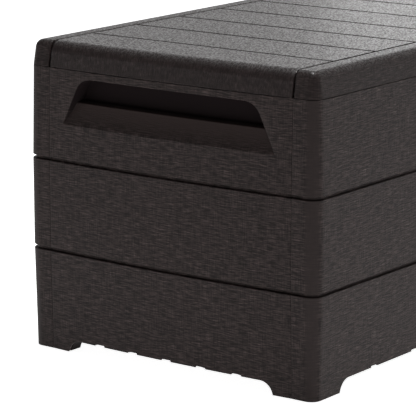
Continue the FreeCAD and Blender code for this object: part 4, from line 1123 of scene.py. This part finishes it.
def lid_rail(name, side):
    """Border strip along a long side of the lid, wrapped round its two corners."""
    end_rows = skirt_rows(END_ROUND)
    side_rows = skirt_rows(SIDE_ROUND)
    lengths = [0.0]
    for first, second in zip(side_rows, side_rows[1:]):
        lengths.append(lengths[-1] + math.hypot(second.out - first.out,
                                                second.height - first.height))
    reach = HALF_LENGTH - CORNER - 12 * MM
    middle = [(-1 + 2 * n / RAIL_STATIONS) * reach for n in range(RAIL_STATIONS + 1)]
    stations = wrap_stations(RAIL_EDGE, middle, 1.0)
    skin = Skinner()
    flip = -side

    def place(station, row, number):
        other = end_rows[number]
        share = station.front * station.front * (3 - 2 * station.front)
        out = other.out + (row.out - other.out) * share
        height = other.height + (row.height - other.height) * share
        if row.tag == "face" and station.drop:
            out -= other.lean[0] * station.drop
            height -= other.lean[1] * station.drop
        x = station.x + station.out_x * out
        y = station.y + station.out_y * out
        if -out > CORNER:
            x = max(min(x, HALF_LENGTH + out), -HALF_LENGTH - out)
            y = max(y, -HALF_DEPTH - out)
        grained = station.corner * 0.3
        return (x, flip * y, height), station.along, lengths[number], grained, 0.0

    grid = skin.tube(stations, side_rows, place, closed=False)
    start = stations[0].along

    def top_grain(point):
        return point[0] + HALF_LENGTH + start, abs(point[1]) - HALF_DEPTH

    skin.flat([line[0][0] for line in grid[2:-2]], top_grain)
    skin.flat([line[-1][0] for line in grid], top_grain)
    for number in (0, 1):
        skin.flat((grid[number][0][0], grid[number + 1][0][0], grid[-2 - number][0][0],
                   grid[-1 - number][0][0]), top_grain)
    ring = [c[0] for c in grid[0]] + [c[0] for c in reversed(grid[-1])]
    skin.flat(ring, top_grain)
    near, far = sorted((side * (SEAM_LINE - LEDGE_HALF), side * (SEAM_LINE + LEDGE_HALF)))
    ledge = HALF_LENGTH - LEDGE_INSET
    skin.block((-ledge, near, LEDGE_HEIGHTS[0]), (ledge, far, LEDGE_HEIGHTS[1]), 0.5 * MM)
    for hand in (-1, 1):
        left, right = sorted(hand * (HALF_LENGTH - inset) for inset in TONGUE_INSETS)
        skin.block((left, near, TONGUE_HEIGHTS[0]), (right, far, TONGUE_HEIGHTS[1]), 0.5 * MM)
    add_seats(skin, side, HALF_DEPTH - 8 * MM, LID_SEAT)
    return show(name, skin.mesh(name), "lid", rail_resin, (name,))


def lid_ends(name):
    """The lid's two bowed end boards and the thin plate under the middle boards."""
    under = LID_TOP - SKIN
    inset = HALF_LENGTH - END_BOARD_EDGE
    points = [
        (0, SKIRT_LOW, 0.5 * MM, "end"),
        (-LID_LEAN, LID_TOP, END_ROUND, "end"),
        (-inset, LID_TOP, 1.1 * MM, "edge"),
        (-inset, under, 0.6 * MM, "edge"),
        (skirt_inner(under), under, END_ROUND - SKIN, "end"),
        (skirt_inner(SKIRT_LOW), SKIRT_LOW, 0.5 * MM, "end"),
    ]
    rows = outline(points)
    count = END_BOARD_STATIONS
    places = [(-DECK_EDGE + away, drop) for away, drop in EDGE_DROPS]
    places += [((-1 + 2 * step / count) * (DECK_EDGE - 8 * MM), 0) for step in range(count + 1)]
    places += [(DECK_EDGE - away, drop) for away, drop in reversed(EDGE_DROPS)]
    skin = Skinner()
    lowest_face = 3 * TURN_POINTS
    for side in (-1, 1):

        def place(station, row, number):
            across, drop = station
            out, height = row.out, row.height
            if drop and number < lowest_face:
                out -= row.lean[0] * drop
                height -= row.lean[1] * drop
            bulge = bow(across) if row.tag == "end" else 0
            spot = (side * (HALF_LENGTH + bulge + out), across, height)
            return spot, across, height, 0.0, 0.0

        grid = skin.tube(places, rows, place)
        skin.cap(grid[0])
        skin.cap(grid[-1])
    reach = END_BOARD_EDGE + 2 * MM
    # Painted shade: the plate under the middle boards takes the full shade mask, so the gaps
    # between the boards show the flat dark colour.
    done = len(skin.shades)
    skin.block((-reach, -DECK_EDGE, under + 0.1 * MM),
               (reach, DECK_EDGE, LID_TOP - BOARD_GROOVE), 0.3 * MM)
    skin.shades[done:] = [1.0] * (len(skin.shades) - done)
    return show(name, skin.mesh(name), "lid", deck_resin, ("lid_deck",))


def lid_boards(name):
    """The eight middle boards, standing on the plate with narrow grooves between them."""
    mesh = boards_growth().grow(name, bpy.data.meshes.new(name + "_start"), {
        "Width": BOARD_PITCH - BOARD_GAP - BOARD_CLEARANCE,
        "Thickness": BOARD_GROOVE + BOARD_SEAT,
        "Length": 2 * DECK_EDGE - 2 * MM,
        "Edge round": BOARD_ROUND,
        "Boards": 8,
        "Pitch": BOARD_PITCH,
        "Top": LID_TOP,
        "Finish": board_resin,
    })
    mesh.shade_smooth()
    mesh.set_sharp_from_angle(angle=math.radians(8))
    return show(name, mesh, "lid", None)


# ---------------------------------------------------------------- ribs and screws


set_out = copies_growth()


def repeated(name, maker, start, count, step, groups, group_step, material, body,
             replaced=()):
    """Copies of one piece, set out by the copies tree, as one mesh."""
    mesh = set_out.grow(name, maker.mesh(name + "_one"), {
        "Start": start, "Count": count, "Step": step, "Groups": groups,
        "Group step": group_step, "Finish": material,
    })
    mesh.set_sharp_from_angle(angle=SHARP)
    return show(name, mesh, body, None, replaced)


def wall_rib(side):
    """Upright rib behind a long wall, standing on its own middle plane."""
    deep = CROWN - GROOVE_DEPTH - RIB_CLEARANCE
    top = RIM - RIB_TOP_GAP
    ring = [(-RIB_BACK, RIB_FOOT), (-RIB_CLEARANCE, RIB_FOOT)]
    for height in GROOVES:
        low = height - GROOVE_HEIGHT / 2
        high = height + GROOVE_HEIGHT / 2
        ring += [
            (CROWN - RIB_CLEARANCE, low - SKIN),
            (deep, low),
            (deep, high),
            (CROWN - RIB_CLEARANCE, high + SKIN),
        ]
    ring += [(-RIB_CLEARANCE, top), (-RIB_BACK, top)]
    placed = [(side * (HALF_DEPTH + out), height) for out, height in ring]
    maker = Skinner()
    maker.prism(placed, -RIB_HALF, RIB_HALF, 0, 0.4 * MM)
    return maker


def screw_piece(direction, size):
    """Pan-head screw with a six-sided socket; its head's underside is at the origin."""
    radius, head_radius, length = size
    head = SCREW_HEAD_HEIGHT
    profile = [
        (0, -0.7 * MM), (1.25 * MM, -0.7 * MM), (1.35 * MM, -head * 0.98),
        (head_radius * 0.72, -head), (head_radius * 0.93, -head * 0.72),
        (head_radius, -head * 0.3), (head_radius, 0), (radius, 0),
        (radius, length - 0.8 * MM), (radius * 0.4, length), (0, length),
    ]
    maker = Skinner()
    maker.lathe(profile, (0, 0, 0), direction, segments=24, hexagon=(1, 2))
    return maker


def screw_set(name, body, direction, size, start, count, step, groups, group_step):
    return repeated(name, screw_piece(direction, size), start, count, step, groups, group_step,
                    screw_zinc, body, (name,))


def dress(node, ease, body, material):
    """Show a frame node's own shape with its edges eased and its finish on."""
    show(node + "_look", eased_node(node, ease * MM), body, material, (node,))


# ---------------------------------------------------------------- build


for wall_side, wall_name in ((-1, "front_panel"), (1, "rear_panel")):
    long_wall(wall_name, wall_side)
    rib_pitch = BOARD_PITCH * 1.5
    repeated(wall_name + "_ribs", wall_rib(wall_side), (-2 * rib_pitch, 0, 0), 2,
             (rib_pitch, 0, 0), 2, (3 * rib_pitch, 0, 0), wall_resin, "box")
end_wall("left_end_panel", -1)
end_wall("right_end_panel", 1)
lid_rail("lid_front_rail", -1)
lid_rail("lid_rear_rail", 1)
lid_ends("lid_end_boards")
lid_boards("lid_boards")

leaf_face = HALF_DEPTH + SEAT_PROUD + LEAF_THICKNESS
tab_face = HALF_DEPTH + SEAT_PROUD + TAB_THICKNESS
for screw_body, screw_height in (("box", WALL_SCREWS), ("lid", LID_SCREWS)):
    screw_set("hinge_%s_screws" % screw_body, screw_body, (0, -1, 0), SCREW,
              (-HINGE_PITCH - LEAF_SCREW_REACH, leaf_face, screw_height), 2,
              (2 * LEAF_SCREW_REACH, 0, 0), 3, (HINGE_PITCH, 0, 0))
for screw_body, screw_height in (("box", WALL_SCREWS), ("lid", LID_SCREWS)):
    screw_set("padlock_%s_screws" % screw_body, screw_body, (0, 1, 0), SCREW,
              (-TAB_SCREW_REACH, -tab_face, screw_height), 2, (2 * TAB_SCREW_REACH, 0, 0), 1,
              (0, 0, 0))
head = BRACKET_SCREW[1]
low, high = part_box("bracket_wall_screws")
screw_set("bracket_wall_screws", "box", (0, 1, 0), BRACKET_SCREW,
          (-BRACKET_X, low.y + SCREW_HEAD_HEIGHT, low.z + head), 2,
          (0, 0, high.z - low.z - 2 * head), 2, (2 * BRACKET_X, 0, 0))
low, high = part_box("bracket_lid_screws")
screw_set("bracket_lid_screws", "lid", (0, 0, 1), BRACKET_SCREW,
          (-BRACKET_X, low.y + head, low.z + SCREW_HEAD_HEIGHT), 2,
          (0, high.y - low.y - 2 * head, 0), 2, (2 * BRACKET_X, 0, 0))

dress("base_floor", 0.7, "box", inner_resin)
dress("lid_liner", 0.6, "lid", inner_resin)
dress("padlock_box_tab", 0.6, "box", tab_resin)
dress("padlock_lid_tab", 0.6, "lid", tab_resin)
for corner in ("front_left", "front_right", "rear_left", "rear_right"):
    dress("foot_" + corner, 1.0, "box", foot_resin)
    dress("corner_post_" + corner, 0.6, "box", inner_resin)
for hinge in ("hinge_left", "hinge_middle", "hinge_right"):
    dress(hinge + "_box_leaf", 0.45, "box", hinge_steel)
    dress(hinge + "_lid_leaf", 0.45, "lid", hinge_steel)
    dress(hinge + "_pin", 0.3, "box", pin_steel)
for hand in ("left", "right"):
    strut = "strut_" + hand
    dress(strut + "_cylinder", 0.8, hand + "_strut_cylinder", strut_paint)
    dress(strut + "_rod", 0.5, hand + "_strut_rod", rod_steel)
    dress(strut + "_wall_bracket", 0.6, "box", hinge_steel)
    dress(strut + "_lid_bracket", 0.6, "lid", hinge_steel)


# ---------------------------------------------------------------- floor, light, camera

BEHIND_GLOW = 0.82
FRONT_GLOW = 0.15
ROUND_GLOW = 0.12
FLOOR_GLOW = 0.95
FLOOR_REACH = 40
FLOOR_CLEARANCE = 0.5 * MM
BACKDROP_LEVEL = 1.2


def stage_floor():
    shader = Shader("pale_floor")
    place = shader.object_place()
    cloud = shader.noise(place, [1.3, 1.3, 1.3], detail=2.0)
    shader.set(base_color=shader.blend(cloud, (0.86, 0.86, 0.86), (0.9, 0.9, 0.9)),
               roughness=0.9, specular_ior_level=0.1, emission_color=(1.0, 1.0, 1.0),
               emission_strength=FLOOR_GLOW)
    mesh = bpy.data.meshes.new("floor")
    mesh.from_pydata([(FLOOR_REACH * x, FLOOR_REACH * y, 0)
                      for x, y in ((-1, -1), (1, -1), (1, 1), (-1, 1))], [], [(0, 1, 2, 3)])
    mesh.materials.append(shader.material)
    floor = bpy.data.objects.new("floor", mesh)
    floor.location.z = size_at_load[0][2] - FLOOR_CLEARANCE
    bpy.context.scene.collection.objects.link(floor)


def area_light(name, place, target, size, power):
    data = bpy.data.lights.new(name, "AREA")
    data.shape = "RECTANGLE"
    data.size, data.size_y = size
    data.energy = power
    lamp = bpy.data.objects.new(name, data)
    lamp.location = place
    lamp.visible_camera = False
    lamp.rotation_euler = (Vector(target) - Vector(place)).to_track_quat("-Z", "Y").to_euler()
    bpy.context.scene.collection.objects.link(lamp)


def studio():
    """Pure white behind the box; a low bright band behind it and a dim glow all round."""
    world = bpy.data.worlds.new("studio")
    bpy.context.scene.world = world
    world.use_nodes = True
    sky = Wiring(world.node_tree)
    sky.tree.nodes.clear()
    way = sky.add("ShaderNodeTexCoord", {})["Generated"]

    def towards(direction):
        return sky.add("ShaderNodeVectorMath", {0: way, 1: direction},
                       operation="DOT_PRODUCT")["Value"]

    def light(strength):
        return sky.add("ShaderNodeBackground",
                       {"Color": (1, 1, 1), "Strength": strength})["Background"]

    behind = towards((0.92, 0.39, 0)).ramp(0.1, 0.95)
    low = towards((0, 0, 1)).ramp(0.3, 0.72, 1.0, 0.0)
    front = towards((0.5, -0.86, 0.1)).ramp(0.0, 1.0)
    glow = light(behind * low * BEHIND_GLOW + (front * FRONT_GLOW + ROUND_GLOW))
    seen = sky.add("ShaderNodeLightPath", {})["Is Camera Ray"]
    mixed = sky.add("ShaderNodeMixShader", {0: seen, 1: glow, 2: light(BACKDROP_LEVEL)})
    sky.add("ShaderNodeOutputWorld", {"Surface": mixed["Shader"]})


def camera():
    """Long lens from the front left, a little above the lid."""
    data = bpy.data.cameras.new("camera")
    data.sensor_width = 36
    data.lens = 218.447
    data.clip_end = 200
    seen_from = bpy.data.objects.new("camera", data)
    forward = Vector((0.7781, 0.5884, -0.2198)).normalized()
    up = Vector((0.1764, 0.1311, 0.9756))
    right = forward.cross(up).normalized()
    up = right.cross(forward)
    turn = Matrix((right, up, -forward)).transposed()
    seen_from.matrix_world = Matrix.Translation((-3.5871, -2.3604, 1.1291)) @ turn.to_4x4()
    bpy.context.scene.collection.objects.link(seen_from)
    bpy.context.scene.camera = seen_from


stage_floor()
area_light("front_fill", (1.8, -3.6, 1.5), (0, -0.2, 0.3), (1.8, 1.6), 4.5)
area_light("far_glow", (2.2, 1.1, 0.9), (0.5, 0, 0.5), (0.8, 0.6), 3.5)
area_light("top_glint", (-0.1, -0.1, 3.2), (-0.4, -0.2, 0.5), (0.55, 0.55), 62)
studio()
camera()
bpy.context.scene.view_settings.view_transform = "Standard"
